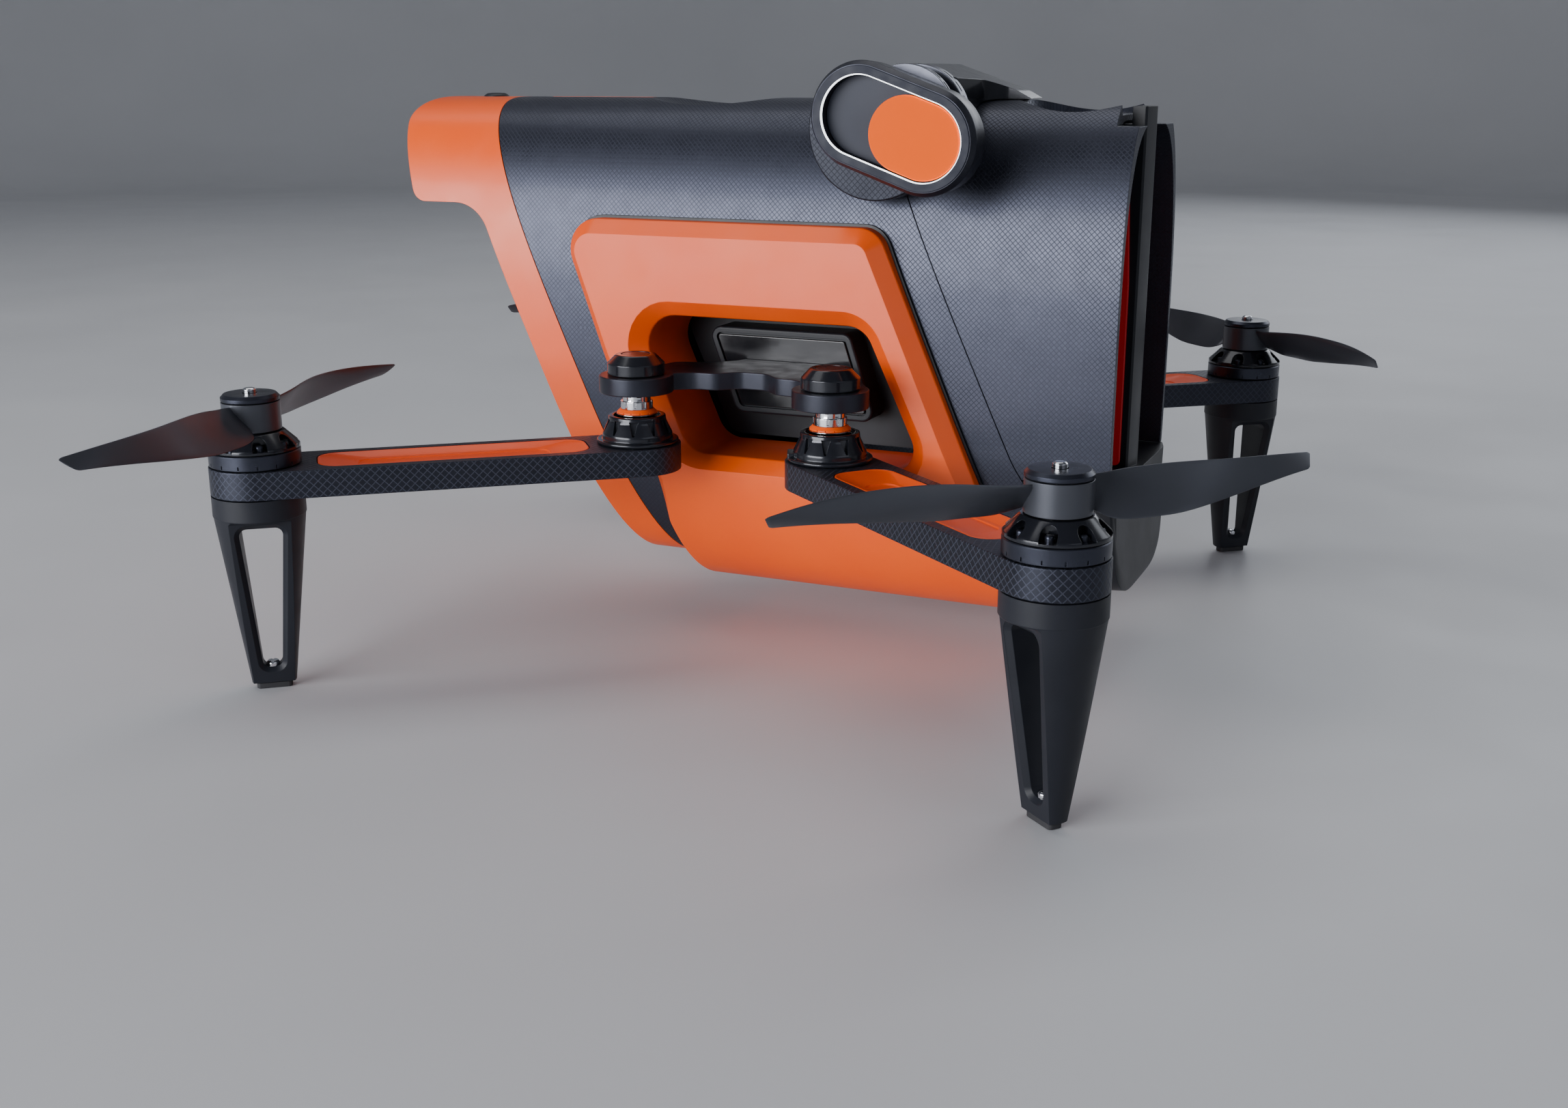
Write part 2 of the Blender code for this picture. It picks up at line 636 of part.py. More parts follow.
def build_camera_and_button(drone):
    hinge = (POD_AXIS[0], POD_BACK, POD_AXIS[1])
    pod_axis = empty("pod_axis", drone, hinge)
    node("pod_housing", turned_about(pod_housing(), hinge), "black_metal", pod_axis)
    node("lens_cover", turned_about(lens_cover(), hinge), "orange_plastic", pod_axis)
    node("power_button", power_button(), "black_plastic", empty("button_axis", drone, (*BUTTON, 0.0)))


def build_corner(drone, corner, shared):
    side_x, side_y, blades, turn = CORNERS[corner]
    direction = math.degrees(math.atan2(side_y * (MOTOR_Y - PIVOT_Y), side_x * (MOTOR_X - PIVOT_X)))
    pivot = empty(corner + "_pivot", drone, (side_x * PIVOT_X, side_y * PIVOT_Y, 0), direction)
    motor = empty(corner + "_motor_axis", pivot, (ARM_LENGTH, 0, 0))
    rotor = empty(corner + "_rotor_axis", motor, turn=blades - direction)
    for part, finish, parent in (
        ("arm", "carbon", pivot),
        ("arm_inlay", "orange_plastic", pivot),
        ("pivot_collar", "black_metal", pivot),
        ("pivot_spindle", "chrome", pivot),
        ("clamp_knob", "black_metal", pivot),
        ("leg", "black_plastic", motor),
        ("foot_pad", "rubber", motor),
        ("motor_base", "black_metal", motor),
        ("rotor_bell", "black_metal", rotor),
        ("hub_cap", "black_metal", rotor),
    ):
        node(f"{corner}_{part}", shared[part], finish, parent)
    node(f"{corner}_propeller", shared["propeller", turn], "black_plastic", rotor)


def main():
    for thing in list(bpy.data.objects):
        bpy.data.objects.remove(thing)
    drone = empty("drone", None, CENTRE)
    build_body(drone)
    build_camera_and_button(drone)
    at_pivot = (arm, arm_inlay, pivot_collar, pivot_spindle, clamp_knob)
    at_motor = (leg, foot_pad, motor_base, rotor_bell, hub_cap)
    shared = {make.__name__: make() for make in at_pivot + at_motor}
    shared["propeller", 1] = propeller(1)
    shared["propeller", -1] = propeller(-1)
    for corner in CORNERS:
        build_corner(drone, corner, shared)


main()
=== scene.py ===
"""Looks of the folding camera drone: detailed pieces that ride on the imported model's bodies.

Lengths in the shapes are in millimetres, in the part's own frame: forward is -Y, the drone's left +X,
up +Z, and the origin is on the floor below the middle between the four motors.
"""

import json
import math

import bmesh
import bpy
from mathutils import Matrix, Vector


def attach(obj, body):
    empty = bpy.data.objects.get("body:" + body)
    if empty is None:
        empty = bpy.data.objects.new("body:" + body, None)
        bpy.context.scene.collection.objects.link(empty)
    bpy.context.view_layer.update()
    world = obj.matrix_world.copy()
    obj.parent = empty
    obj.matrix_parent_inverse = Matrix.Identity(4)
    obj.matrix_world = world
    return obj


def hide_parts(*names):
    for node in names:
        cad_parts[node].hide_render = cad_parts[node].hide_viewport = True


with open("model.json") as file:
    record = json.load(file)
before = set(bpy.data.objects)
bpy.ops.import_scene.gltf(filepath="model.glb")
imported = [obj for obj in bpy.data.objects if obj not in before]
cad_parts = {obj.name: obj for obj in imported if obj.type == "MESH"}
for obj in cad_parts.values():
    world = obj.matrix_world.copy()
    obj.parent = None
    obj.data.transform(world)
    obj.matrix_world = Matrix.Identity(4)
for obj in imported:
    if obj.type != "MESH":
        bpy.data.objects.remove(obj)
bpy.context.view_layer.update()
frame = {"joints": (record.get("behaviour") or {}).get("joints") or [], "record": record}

MM = 0.001
JOINTS = {joint["name"]: joint for joint in frame["joints"]}
FEET = [Vector(mount["pos_m"]) for mount in frame["record"]["mounts"] if mount["name"].endswith("_foot")]
CENTRE = sum(FEET, Vector()) / len(FEET)

# Each corner: direction of its blades in degrees, and the way they turn.
CORNERS = {
    "front_left": (50.0, 1),
    "front_right": (93.5, -1),
    "rear_left": (-48.0, -1),
    "rear_right": (-132.8, 1),
}
PIVOT_X, PIVOT_Y = 32.1, 63.6
MOTOR_X, MOTOR_Y = 119.4, 135.5
ARM_LENGTH = math.hypot(MOTOR_X - PIVOT_X, MOTOR_Y - PIVOT_Y)
ARM_RADIUS = 13.3

# The body's cross-section: an oval whose upper and lower halves have powers of their own.
HALF_WIDTH = 37.5
MIDDLE_Z, TOP_Z, BOTTOM_Z = 95.0, 171.0, 20.0
TOP_POWER, BOTTOM_POWER = 3.0, 3.3
SECTION_POINTS = 176
WALL, ROOF = 2.4, 6.0
GAP = 0.3
BEYOND = 60  # a depth or width that reaches past the body, for cutting tools

BOSS_CENTRE, BOSS_RADIUS = (37.0, 163.0), 20.5

POD_HIGH_END, POD_LOW_END = (38.0, 167.0), (57.3, 160.0)
POD_AXIS = (47.5, 166.0)


# Outlines


def rounded(corners, radii, inset=0.0, steps=9):
    """A counter-clockwise polygon with rounded corners, with every side moved inward by inset."""
    points = []
    for index, (corner, radius) in enumerate(zip(corners, radii)):
        here = Vector(corner)
        arriving = (here - Vector(corners[index - 1])).normalized()
        leaving = (Vector(corners[(index + 1) % len(corners)]) - here).normalized()
        inward = Vector((-arriving.y, arriving.x))
        inward_after = Vector((-leaving.y, leaving.x))
        here += (inward + inward_after) * inset / (1 + arriving.dot(leaving))
        turn = math.atan2(arriving.cross(leaving), arriving.dot(leaving))
        side = math.copysign(1.0, turn)
        radius = max(radius - side * inset, 0.2)
        start = here - arriving * radius * math.tan(abs(turn) / 2)
        centre = start + inward * side * radius
        for step in range(steps + 1):
            points.append(centre + Matrix.Rotation(turn * step / steps, 2) @ (start - centre))
    return [tuple(point) for point in points]


def arc(centre, radius, first, last, steps):
    angles = [math.radians(first + (last - first) * step / steps) for step in range(steps + 1)]
    return [(centre[0] + radius * math.cos(a), centre[1] + radius * math.sin(a)) for a in angles]


def circle(centre, radius, segments=72):
    return arc(centre, radius, 0, 360, segments)[:-1]


def stadium(low, high, radius, steps=36):
    along = math.degrees(math.atan2(high[1] - low[1], high[0] - low[0]))
    return arc(high, radius, along - 90, along + 90, steps) + arc(low, radius, along + 90, along + 270, steps)


def oval_point(angle, outset=0.0, roof=0.0, keel=0.0, bottom_power=BOTTOM_POWER):
    """A point (y, z) of the body's cross-section, moved out, with its roof lowered and its keel raised."""
    cosine, sine = math.cos(angle), math.sin(angle)
    power = TOP_POWER if sine > 0 else bottom_power
    height = TOP_Z - MIDDLE_Z - roof if sine > 0 else MIDDLE_Z - BOTTOM_Z - keel
    y = (HALF_WIDTH + outset) * math.copysign(abs(cosine) ** (2 / power), cosine)
    z = (height + outset) * math.copysign(abs(sine) ** (2 / power), sine)
    return y, MIDDLE_Z + z


def section(*changes, **more):
    """The body's whole cross-section; it takes what oval_point takes after the angle."""
    angles = (2 * math.pi * (step + 0.5) / SECTION_POINTS for step in range(SECTION_POINTS))
    return [oval_point(angle, *changes, **more) for angle in angles]


def shrunk(outline, inset):
    """A dense outline with each point moved inward, across the line through its neighbours."""
    points = []
    for index, here in enumerate(outline):
        before, after = Vector(outline[index - 1]), Vector(outline[(index + 1) % len(outline)])
        along = (after - before).normalized()
        points.append((here[0] - along.y * inset, here[1] + along.x * inset))
    return points


# Meshes


def mesh_of(points, faces):
    mesh = bpy.data.meshes.new("piece")
    mesh.from_pydata([Vector(point) * MM for point in points], [], faces)
    shape = bmesh.new()
    shape.from_mesh(mesh)
    bmesh.ops.recalc_face_normals(shape, faces=shape.faces)
    shape.to_mesh(mesh)
    shape.free()
    return mesh


def skin(rings):
    """The points and faces of a surface through closed rings, with a face inside the first."""
    count = len(rings[0])
    faces = [tuple(range(count))]
    for start in range(0, (len(rings) - 1) * count, count):
        for step in range(count):
            after = (step + 1) % count
            faces.append((start + step, start + after, start + count + after, start + count + step))
    return [point for ring in rings for point in ring], faces


def loft(rings):
    """A closed body through closed rings."""
    points, faces = skin(rings)
    last = len(points) - len(rings[0])
    faces.insert(1, tuple(range(last, len(points))))
    return mesh_of(points, faces)


def on_axis(outline, axis, height):
    if axis == "x":
        return [(height, u, v) for u, v in outline]
    if axis == "y":
        return [(u, height, v) for u, v in outline]
    return [(u, v, height) for u, v in outline]


def prism(outline, axis, low, high):
    return loft([on_axis(outline, axis, low), on_axis(outline, axis, high)])


def layers(axis, *levels):
    return loft([on_axis(outline, axis, height) for height, outline in levels])


def pillow(outline, axis, low, high, low_edge=0.0, high_edge=0.0, steps=4):
    """A prism with rounded rims; outline(inset) is its outline, moved inward."""
    levels = []
    for end, edge, sign in ((low, low_edge, 1), (high, high_edge, -1)):
        rim = []
        for step in range(steps + 1 if edge else 1):
            angle = math.pi / 2 * (step / steps if edge else 1)
            height = end + sign * edge * (1 - math.cos(angle)) if edge else end
            rim.append((height, outline(edge * (1 - math.sin(angle)))))
        levels += rim[::sign]
    return layers(axis, *levels)


def lathe(profile, segments=96, centre=(0.0, 0.0), axis="z"):
    """Turns (radius, height) points about a line along an axis. A profile off the axis closes into a ring."""
    points, rows = [], []
    for radius, height in profile:
        ring = circle(centre, radius, segments) if radius > 0 else [centre]
        rows.append([len(points) + step for step in range(len(ring))])
        points += on_axis(ring, axis, height)
    pairs = list(zip(rows, rows[1:]))
    if profile[0][0] > 0:
        pairs.append((rows[-1], rows[0]))
    faces = []
    for lower, upper in pairs:
        for step in range(segments):
            after = (step + 1) % segments
            corners = [lower[step % len(lower)], lower[after % len(lower)]]
            corners += [upper[after % len(upper)], upper[step % len(upper)]]
            faces.append(tuple(dict.fromkeys(corners)))
    return mesh_of(points, faces)


def turned_profile(corners, radius=0.25, steps=3):
    """A profile for lathe with its inner corners rounded; the first and last points stay."""
    points = [corners[0]]
    for before, here, after in zip(corners, corners[1:], corners[2:]):
        here = Vector(here)
        arriving, leaving = Vector(before) - here, Vector(after) - here
        reach = min(radius, arriving.length * 0.45, leaving.length * 0.45)
        start, end = here + arriving.normalized() * reach, here + leaving.normalized() * reach
        for step in range(steps + 1):
            share = step / steps
            points.append(tuple(start.lerp(here, share).lerp(here.lerp(end, share), share)))
    return [*points, corners[-1]]


def combine(mesh, tool, operation):
    body = bpy.data.objects.new("body", mesh)
    cutter = bpy.data.objects.new("cutter", tool)
    for helper in (body, cutter):
        bpy.context.scene.collection.objects.link(helper)
    boolean = body.modifiers.new("boolean", "BOOLEAN")
    boolean.operation = operation
    boolean.object = cutter
    bpy.context.view_layer.update()
    result = bpy.data.meshes.new_from_object(body.evaluated_get(bpy.context.evaluated_depsgraph_get()))
    for helper in (body, cutter):
        bpy.data.objects.remove(helper)
    shape = bmesh.new()
    shape.from_mesh(result)
    bmesh.ops.remove_doubles(shape, verts=shape.verts, dist=2e-6)
    bmesh.ops.dissolve_limit(shape, angle_limit=math.radians(0.1), verts=shape.verts, edges=shape.edges)
    shape.to_mesh(result)
    shape.free()
    return result


def cut(mesh, *tools):
    for tool in tools:
        mesh = combine(mesh, tool, "DIFFERENCE")
    return mesh


def join(mesh, *tools):
    for tool in tools:
        mesh = combine(mesh, tool, "UNION")
    return mesh


def common(mesh, *tools):
    for tool in tools:
        mesh = combine(mesh, tool, "INTERSECT")
    return mesh


def merged(*meshes):
    """Several separate bodies in one mesh."""
    shape = bmesh.new()
    for mesh in meshes:
        shape.from_mesh(mesh)
    made = bpy.data.meshes.new("piece")
    shape.to_mesh(made)
    shape.free()
    return made


def mirrored(mesh):
    """The same shape on the other side of the XZ plane."""
    copy = mesh.copy()
    copy.transform(Matrix.Scale(-1, 4, Vector((0, 1, 0))))
    copy.flip_normals()
    return copy


def turned(mesh, degrees):
    copy = mesh.copy()
    copy.transform(Matrix.Rotation(math.radians(degrees), 4, "Z"))
    return copy


def box(low, high):
    outline = [(low[0], low[1]), (high[0], low[1]), (high[0], high[1]), (low[0], high[1])]
    return prism(outline, "z", low[2], high[2])


# Weave coordinates, in millimetres

GIRTH_STEPS = 720


def girth_lengths():
    """Length round the section, from its lowest point, at each step of the angle."""
    angles = (2 * math.pi * step / GIRTH_STEPS - math.pi / 2 for step in range(GIRTH_STEPS + 1))
    points = [Vector(oval_point(angle)) for angle in angles]
    lengths = [0.0]
    for before, after in zip(points, points[1:]):
        lengths.append(lengths[-1] + (after - before).length)
    return lengths


GIRTH = girth_lengths()


def girth_at(y, z):
    """Length round the section, from its lowest point, at a point of it."""
    up = z - MIDDLE_Z
    power = TOP_POWER if up > 0 else BOTTOM_POWER
    height = TOP_Z - MIDDLE_Z if up > 0 else MIDDLE_Z - BOTTOM_Z
    cosine = math.copysign((abs(y) / HALF_WIDTH) ** (power / 2), y)
    sine = math.copysign((abs(up) / height) ** (power / 2), up)
    place = (math.atan2(sine, cosine) + math.pi / 2) % (2 * math.pi) / (2 * math.pi) * GIRTH_STEPS
    step = min(int(place), GIRTH_STEPS - 1)
    return GIRTH[step] + (place - step) * (GIRTH[step + 1] - GIRTH[step])


def near_to(length, middle, whole):
    """The same place on a closed line, on the turn that is nearest to middle."""
    return length - whole * round((length - middle) / whole)


def on_body(point, normal, centre):
    if abs(normal.x) > 0.8:
        return point.y, point.z
    middle = girth_at(centre.y, centre.z)
    return point.x, near_to(girth_at(point.y, point.z), middle, GIRTH[-1])


def round_arm(point):
    if point.x < 0:
        angle = math.atan2(point.y, point.x) % (2 * math.pi)
        return 2 * ARM_LENGTH + ARM_RADIUS * (math.pi / 2 + angle)
    if point.x > ARM_LENGTH:
        return ARM_LENGTH + ARM_RADIUS * (math.atan2(point.y, point.x - ARM_LENGTH) + math.pi / 2)
    return point.x if point.y < 0 else 2 * ARM_LENGTH + math.pi * ARM_RADIUS - point.x


def on_arm(point, normal, centre):
    if abs(normal.z) > 0.6:
        return point.x, point.y
    whole = 2 * ARM_LENGTH + 2 * math.pi * ARM_RADIUS
    return near_to(round_arm(point), round_arm(centre), whole), point.z


def on_boss(point, normal, centre):
    if abs(normal.y) > 0.6:
        return point.x, point.z
    angle, middle = (math.atan2(p.z - BOSS_CENTRE[1], p.x - BOSS_CENTRE[0]) for p in (point, centre))
    return BOSS_RADIUS * near_to(angle, middle, 2 * math.pi), point.y


def weave_on(mesh, place):
    layer = mesh.uv_layers.new(name="weave")
    for face in mesh.polygons:
        for loop in face.loop_indices:
            point = mesh.vertices[mesh.loops[loop].vertex_index].co / MM
            layer.data[loop].uv = place(point, face.normal, face.center / MM)
    return mesh


# Materials

NOISE_RANGE = 0.3, 0.7  # between these lie most values of a noise texture


def feed(node, inputs):
    """Sets a node's inputs to numbers or colours, or links them to other nodes' outputs."""
    for name, value in inputs.items():
        if isinstance(value, bpy.types.NodeSocket):
            node.id_data.links.new(value, node.inputs[name])
        else:
            node.inputs[name].default_value = (*value, 1.0) if isinstance(value, tuple) else value


def made_by(tree, kind, inputs, output=0, **settings):
    """An output of a new node."""
    node = tree.nodes.new(kind)
    for name, value in settings.items():
        setattr(node, name, value)
    feed(node, inputs)
    return node.outputs[output]


def maths(tree, operation, *values):
    return made_by(tree, "ShaderNodeMath", dict(enumerate(values)), operation=operation)


def weighed(tree, *terms):
    """The sum of several values, each times its weight."""
    total = None
    for value, weight in terms:
        part = maths(tree, "MULTIPLY", value, weight)
        total = part if total is None else maths(tree, "ADD", total, part)
    return total


def spread(tree, value, low, high, to_low=0.0, to_high=1.0):
    """A value whose range from low to high is stretched to another range, and held there."""
    ends = {"From Min": low, "From Max": high, "To Min": to_low, "To Max": to_high}
    return made_by(tree, "ShaderNodeMapRange", {"Value": value, **ends})


def noise(tree, vector, size, detail=3.0):
    """Cloudy noise whose patches are about size millimetres, for a vector in millimetres."""
    inputs = {"Vector": vector, "Scale": 1 / size, "Detail": detail}
    return made_by(tree, "ShaderNodeTexNoise", inputs, "Fac")


def colours(tree, factor, *stops):
    """The colour at a factor, between two (place, colour) stops."""
    colour = made_by(tree, "ShaderNodeValToRGB", {"Fac": factor})
    for element, (place, value) in zip(colour.node.color_ramp.elements, stops):
        element.position = place
        element.color = (*value, 1.0)
    return colour


def mixed(tree, factor, first, second):
    return made_by(tree, "ShaderNodeMix", {0: factor, 6: first, 7: second}, 2, data_type="RGBA")


def bumped(tree, height, relief, edge):
    """A normal with relief in millimetres, over edges rounded by a radius in millimetres."""
    soft = made_by(tree, "ShaderNodeBevel", {"Radius": edge * MM}, samples=4)
    inputs = {"Strength": 1.0, "Distance": relief * MM, "Height": height, "Normal": soft}
    return made_by(tree, "ShaderNodeBump", inputs)


def in_millimetres(tree):
    """The piece's own coordinates, in millimetres."""
    place = made_by(tree, "ShaderNodeTexCoord", {}, "Object")
    return made_by(tree, "ShaderNodeVectorMath", {0: place, "Scale": 1 / MM}, operation="SCALE")


def parts_of(tree, vector):
    return made_by(tree, "ShaderNodeSeparateXYZ", {0: vector}).node.outputs


def new_material(name):
    made = bpy.data.materials.new(name)
    made.use_nodes = True
    shader = made.node_tree.nodes["Principled BSDF"]
    feed(shader, {"Coat Roughness": 0.12})
    return made, made.node_tree, shader


def finish(
    name, dark, light, roughness, metallic=0.0, coat=0.0, specular=0.5, patch=14.0, uneven=0.2,
    grain=0.35, relief=0.01, edge=0.25, lathed=False, glow=0.0, glow_colour=(1.0, 1.0, 1.0),
):
    """A plain or metallic surface: cloudy colour, uneven gloss, fine grain and softly worn edges.

    patch, grain, relief and edge are in millimetres, and uneven is a share of the roughness. lathed lays the
    grain in lines round the Z axis.
    """
    made, tree, shader = new_material(name)
    vector = in_millimetres(tree)
    either_way = roughness * uneven
    gloss = noise(tree, vector, patch / 3, 5.0)
    feed(shader, {
        "Base Color": colours(tree, noise(tree, vector, patch), *zip(NOISE_RANGE, (dark, light))),
        "Roughness": spread(tree, gloss, *NOISE_RANGE, roughness - either_way, roughness + either_way),
        "Metallic": metallic,
        "Coat Weight": coat,
        "Specular IOR Level": specular,
        "Emission Color": glow_colour,
        "Emission Strength": glow,
    })
    if lathed:
        x, y, z = parts_of(tree, vector)
        squares = [maths(tree, "MULTIPLY", value, value) for value in (x, y)]
        radius = maths(tree, "SQRT", maths(tree, "ADD", *squares))
        vector = made_by(tree, "ShaderNodeCombineXYZ", {0: radius, 2: z})
    feed(shader, {"Normal": bumped(tree, noise(tree, vector, grain, 2.0), relief, edge)})
    return made


CARBON_HUE = (0.90, 0.98, 1.34)


def carbon(name, pitch, width, roughness, tone, thread):
    """Diagonal woven cloth under a satin lacquer: two sets of fine lines, and cells that differ a little.

    pitch is in millimetres and width a share of it; tone and thread are the brightness of cells and lines.
    """
    made, tree, shader = new_material(name)
    across_x, across_y, _ = parts_of(tree, made_by(tree, "ShaderNodeUVMap", {}, "UV", uv_map="weave"))
    lines, cells = [], []
    for operation in ("ADD", "SUBTRACT"):
        across = maths(tree, "DIVIDE", maths(tree, operation, across_x, across_y), pitch * math.sqrt(2))
        near = maths(tree, "ABSOLUTE", maths(tree, "SUBTRACT", maths(tree, "FRACT", across), 0.5))
        lines.append(spread(tree, near, 0.5 - width, 0.5 - width * 0.4))
        cells.append(maths(tree, "FLOOR", across))
    line = maths(tree, "MAXIMUM", *lines)
    parity = maths(tree, "FLOORED_MODULO", maths(tree, "ADD", *cells), 2.0)
    cell = made_by(tree, "ShaderNodeCombineXYZ", dict(enumerate(cells)))
    chance = made_by(tree, "ShaderNodeTexWhiteNoise", {"Vector": cell}, noise_dimensions="2D")
    vector = in_millimetres(tree)
    shade = weighed(tree, (parity, 0.12), (chance, 0.2), (noise(tree, vector, 40.0), 0.5))
    dark, light, between = (
        tuple(bright * part for part in CARBON_HUE) for bright in (0.82 * tone, 1.18 * tone, thread)
    )
    cloth = colours(tree, shade, (0.0, dark), (1.0, light))
    patches = spread(tree, noise(tree, vector, 6.0), *NOISE_RANGE, roughness - 0.03, roughness + 0.03)
    grain = maths(tree, "MULTIPLY", noise(tree, vector, 0.3, 2.0), 0.3)
    feed(shader, {
        "Base Color": mixed(tree, line, cloth, between),
        "Roughness": maths(tree, "ADD", weighed(tree, (line, 0.34), (parity, 0.02)), patches),
        "Metallic": 0.85,
        "Coat Weight": 0.05,
        "Specular IOR Level": 0.5,
        "Normal": bumped(tree, maths(tree, "SUBTRACT", grain, line), 0.012, 0.3),
    })
    return made


def orange(name, dark, light):
    return finish(name, dark, light, 0.40, coat=0.10, patch=30.0, grain=0.9, relief=0.006, uneven=0.12)


MATERIALS = {
    "body_carbon": carbon("body_carbon", 1.15, 0.12, 0.36, 0.062, 0.054),
    "arm_carbon": carbon("arm_carbon", 1.75, 0.10, 0.40, 0.036, 0.085),
    # the camera boss's carbon: a darker copy of the body's carbon, painted shade for the shadow the boss lies
    # in
    "boss_carbon_painted_shade": carbon("boss_carbon_painted_shade", 1.3, 0.10, 0.40, 0.020, 0.034),
    "orange": orange("orange_satin", (0.97, 0.098, 0.0), (1.0, 0.115, 0.001)),
    "arm_orange": orange("arm_orange", (0.95, 0.082, 0.001), (1.0, 0.098, 0.002)),
    "cover_orange": finish(
        "cover_orange", (0.98, 0.115, 0.003), (1.0, 0.13, 0.004), 0.62,
        specular=0.05, grain=0.5, patch=60.0, uneven=0.05,
    ),
    "anodised": finish(
        "anodised", (0.020, 0.022, 0.032), (0.034, 0.037, 0.052), 0.36,
        metallic=0.6, grain=0.25,
    ),
    "turned_metal": finish(
        "turned_metal", (0.030, 0.033, 0.046), (0.052, 0.057, 0.078), 0.30,
        metallic=0.8, grain=0.22, lathed=True, relief=0.008,
    ),
    "gloss_metal": finish(
        "gloss_metal", (0.012, 0.013, 0.018), (0.018, 0.020, 0.027), 0.20,
        metallic=0.4, coat=0.25, grain=0.6, relief=0.004,
    ),
    "flange_metal": finish(
        "flange_metal", (0.10, 0.105, 0.13), (0.13, 0.137, 0.165), 0.34,
        metallic=0.9, grain=0.25, relief=0.006,
    ),
    "chrome": finish(
        "chrome", (0.62, 0.63, 0.66), (0.82, 0.83, 0.86), 0.12,
        metallic=1.0, grain=0.2, relief=0.004, lathed=True, edge=0.12,
    ),
    "plastic": finish(
        "plastic", (0.012, 0.0135, 0.019), (0.017, 0.019, 0.026), 0.44,
        specular=0.3, grain=0.3, patch=30.0, relief=0.012,
    ),
    "frame_plastic": finish(
        "frame_plastic", (0.010, 0.011, 0.015), (0.014, 0.016, 0.021), 0.40,
        specular=0.3, grain=0.4, patch=40.0, uneven=0.08,
    ),
    "blade_plastic": finish(
        "blade_plastic", (0.070, 0.075, 0.090), (0.082, 0.087, 0.104), 0.36,
        metallic=0.5, grain=0.5, relief=0.005, patch=60.0, edge=0.15,
    ),
    "glass": finish(
        "glass", (0.006, 0.006, 0.008), (0.010, 0.010, 0.013), 0.16,
        coat=0.35, relief=0.001, grain=2.0,
    ),
    "face_grey": finish(
        "face_grey", (0.022, 0.025, 0.038), (0.028, 0.031, 0.046), 0.50,
        specular=0.2, grain=0.3, relief=0.01,
    ),
    "window": finish(
        "window", (0.020, 0.023, 0.036), (0.024, 0.028, 0.043), 0.44,
        specular=0.2, grain=0.8, patch=60.0, uneven=0.06, relief=0.004,
    ),
    "red": finish(
        "red", (0.34, 0.001, 0.004), (0.42, 0.002, 0.006), 0.42,
        grain=0.4, glow=0.06, glow_colour=(1.0, 0.01, 0.02),
    ),
    "lamp": finish(
        "lamp", (0.85, 0.87, 0.9), (0.95, 0.96, 1.0), 0.4,
        grain=0.5, glow=3.0, glow_colour=(0.92, 0.96, 1.0),
    ),
    "rubber": finish(
        "rubber", (0.020, 0.020, 0.023), (0.034, 0.034, 0.038), 0.78,
        grain=0.35, relief=0.03,
    ),
}


SHARP_ANGLE = 30


def piece(name, mesh, look, body, replaces=None, place=None):
    """A visible piece: its mesh in its material, riding on a body and standing for a CAD node, if any."""
    place = place or Matrix.Translation(CENTRE)
    made = bpy.data.objects.new(name, mesh.copy())
    bpy.context.scene.collection.objects.link(made)
    made.data.transform(place.to_3x3().to_4x4())
    made.data.materials.clear()
    made.data.materials.append(MATERIALS[look])
    made.data.shade_smooth()
    made.data.set_sharp_from_angle(angle=math.radians(SHARP_ANGLE))
    weighted = made.modifiers.new("weighted", "WEIGHTED_NORMAL")
    weighted.keep_sharp = True
    made.matrix_world = Matrix.Translation(place.translation)
    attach(made, body)
    if replaces:
        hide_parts(replaces)


# Body shells

TAIL_X, NOSE_X = -150.0, 109.3
TAIL_SEAM = [(-35.0, 16.0), (-57.4, 60.0), (-107.1, 172.0)]
TAIL_SIDE = [(-141.5, 171.4), (-130.6, 137.4), (-105.6, 137.4), (-71.3, 60.0), (-48.2, 16.0)]
TAIL_RADII = (0.3, 60.0, 0.3, 7.0, 5.5, 14.0, 60.0, 0.3)
NOSE_SEAM = [(101.0, 15.0), (97.0, 40.0), (80.0, 66.0), (28.0, 178.0)]
NOSE_SEAM_RADII = (0.3, 14.0, 40.0, 0.3)
BUTTON = (-119.5, 0.0)
TUNNEL = [(-25.6, 61.7), (54.0, 61.7), (33.5, 105.1), (-44.6, 105.1)]
TUNNEL_RADII = (9.0, 7.0, 8.5, 9.5)
LINER = 2.8
PLUG_TOP = 61.5
DISH_X, DISH_RIM, DISH_DEPTH = -33.0, 23.0, 4.3  # the shallow round dish in the roof
NOSE_DISH_X = 88.5
NOSE_DISH = [(0.0, 166.8), (18.0, 166.8), (18.6, 167.1), (20.0, 170.6), (20.5, 171.1), (20.5, 175), (0, 175)]


def shell_band(outline):
    """A part of the hollow body, seen from the side as outline."""
    solid = common(prism(section(), "x", TAIL_X, NOSE_X), prism(outline, "y", -BEYOND, BEYOND))
    return cut(solid, prism(section(-WALL, ROOF - WALL), "x", TAIL_X - 10, NOSE_X + 10))


def main_shell():
    left = [(x + GAP, z) for x, z in TAIL_SEAM]
    right = [(x - GAP / 2, z) for x, z in NOSE_SEAM]
    outline = rounded(left[:1] + right + left[:0:-1], (0.3, *NOSE_SEAM_RADII, 0.3, 60.0))
    tunnel = prism(rounded(TUNNEL, TUNNEL_RADII, -LINER - GAP), "y", -BEYOND, BEYOND)
    ball = (DISH_RIM**2 + DISH_DEPTH**2) / (2 * DISH_DEPTH)
    floor = TOP_Z - DISH_DEPTH
    rises = [(DISH_DEPTH + 3.0) * (1 - (1 - step / 16) ** 2) for step in range(17)]
    dish = [(0.0, floor)] + [(math.sqrt(2 * ball * up - up**2), floor + up) for up in rises[1:]]
    return cut(shell_band(outline), tunnel, lathe([*dish, (0.0, floor + rises[-1])], 96, (DISH_X, 0.0)))


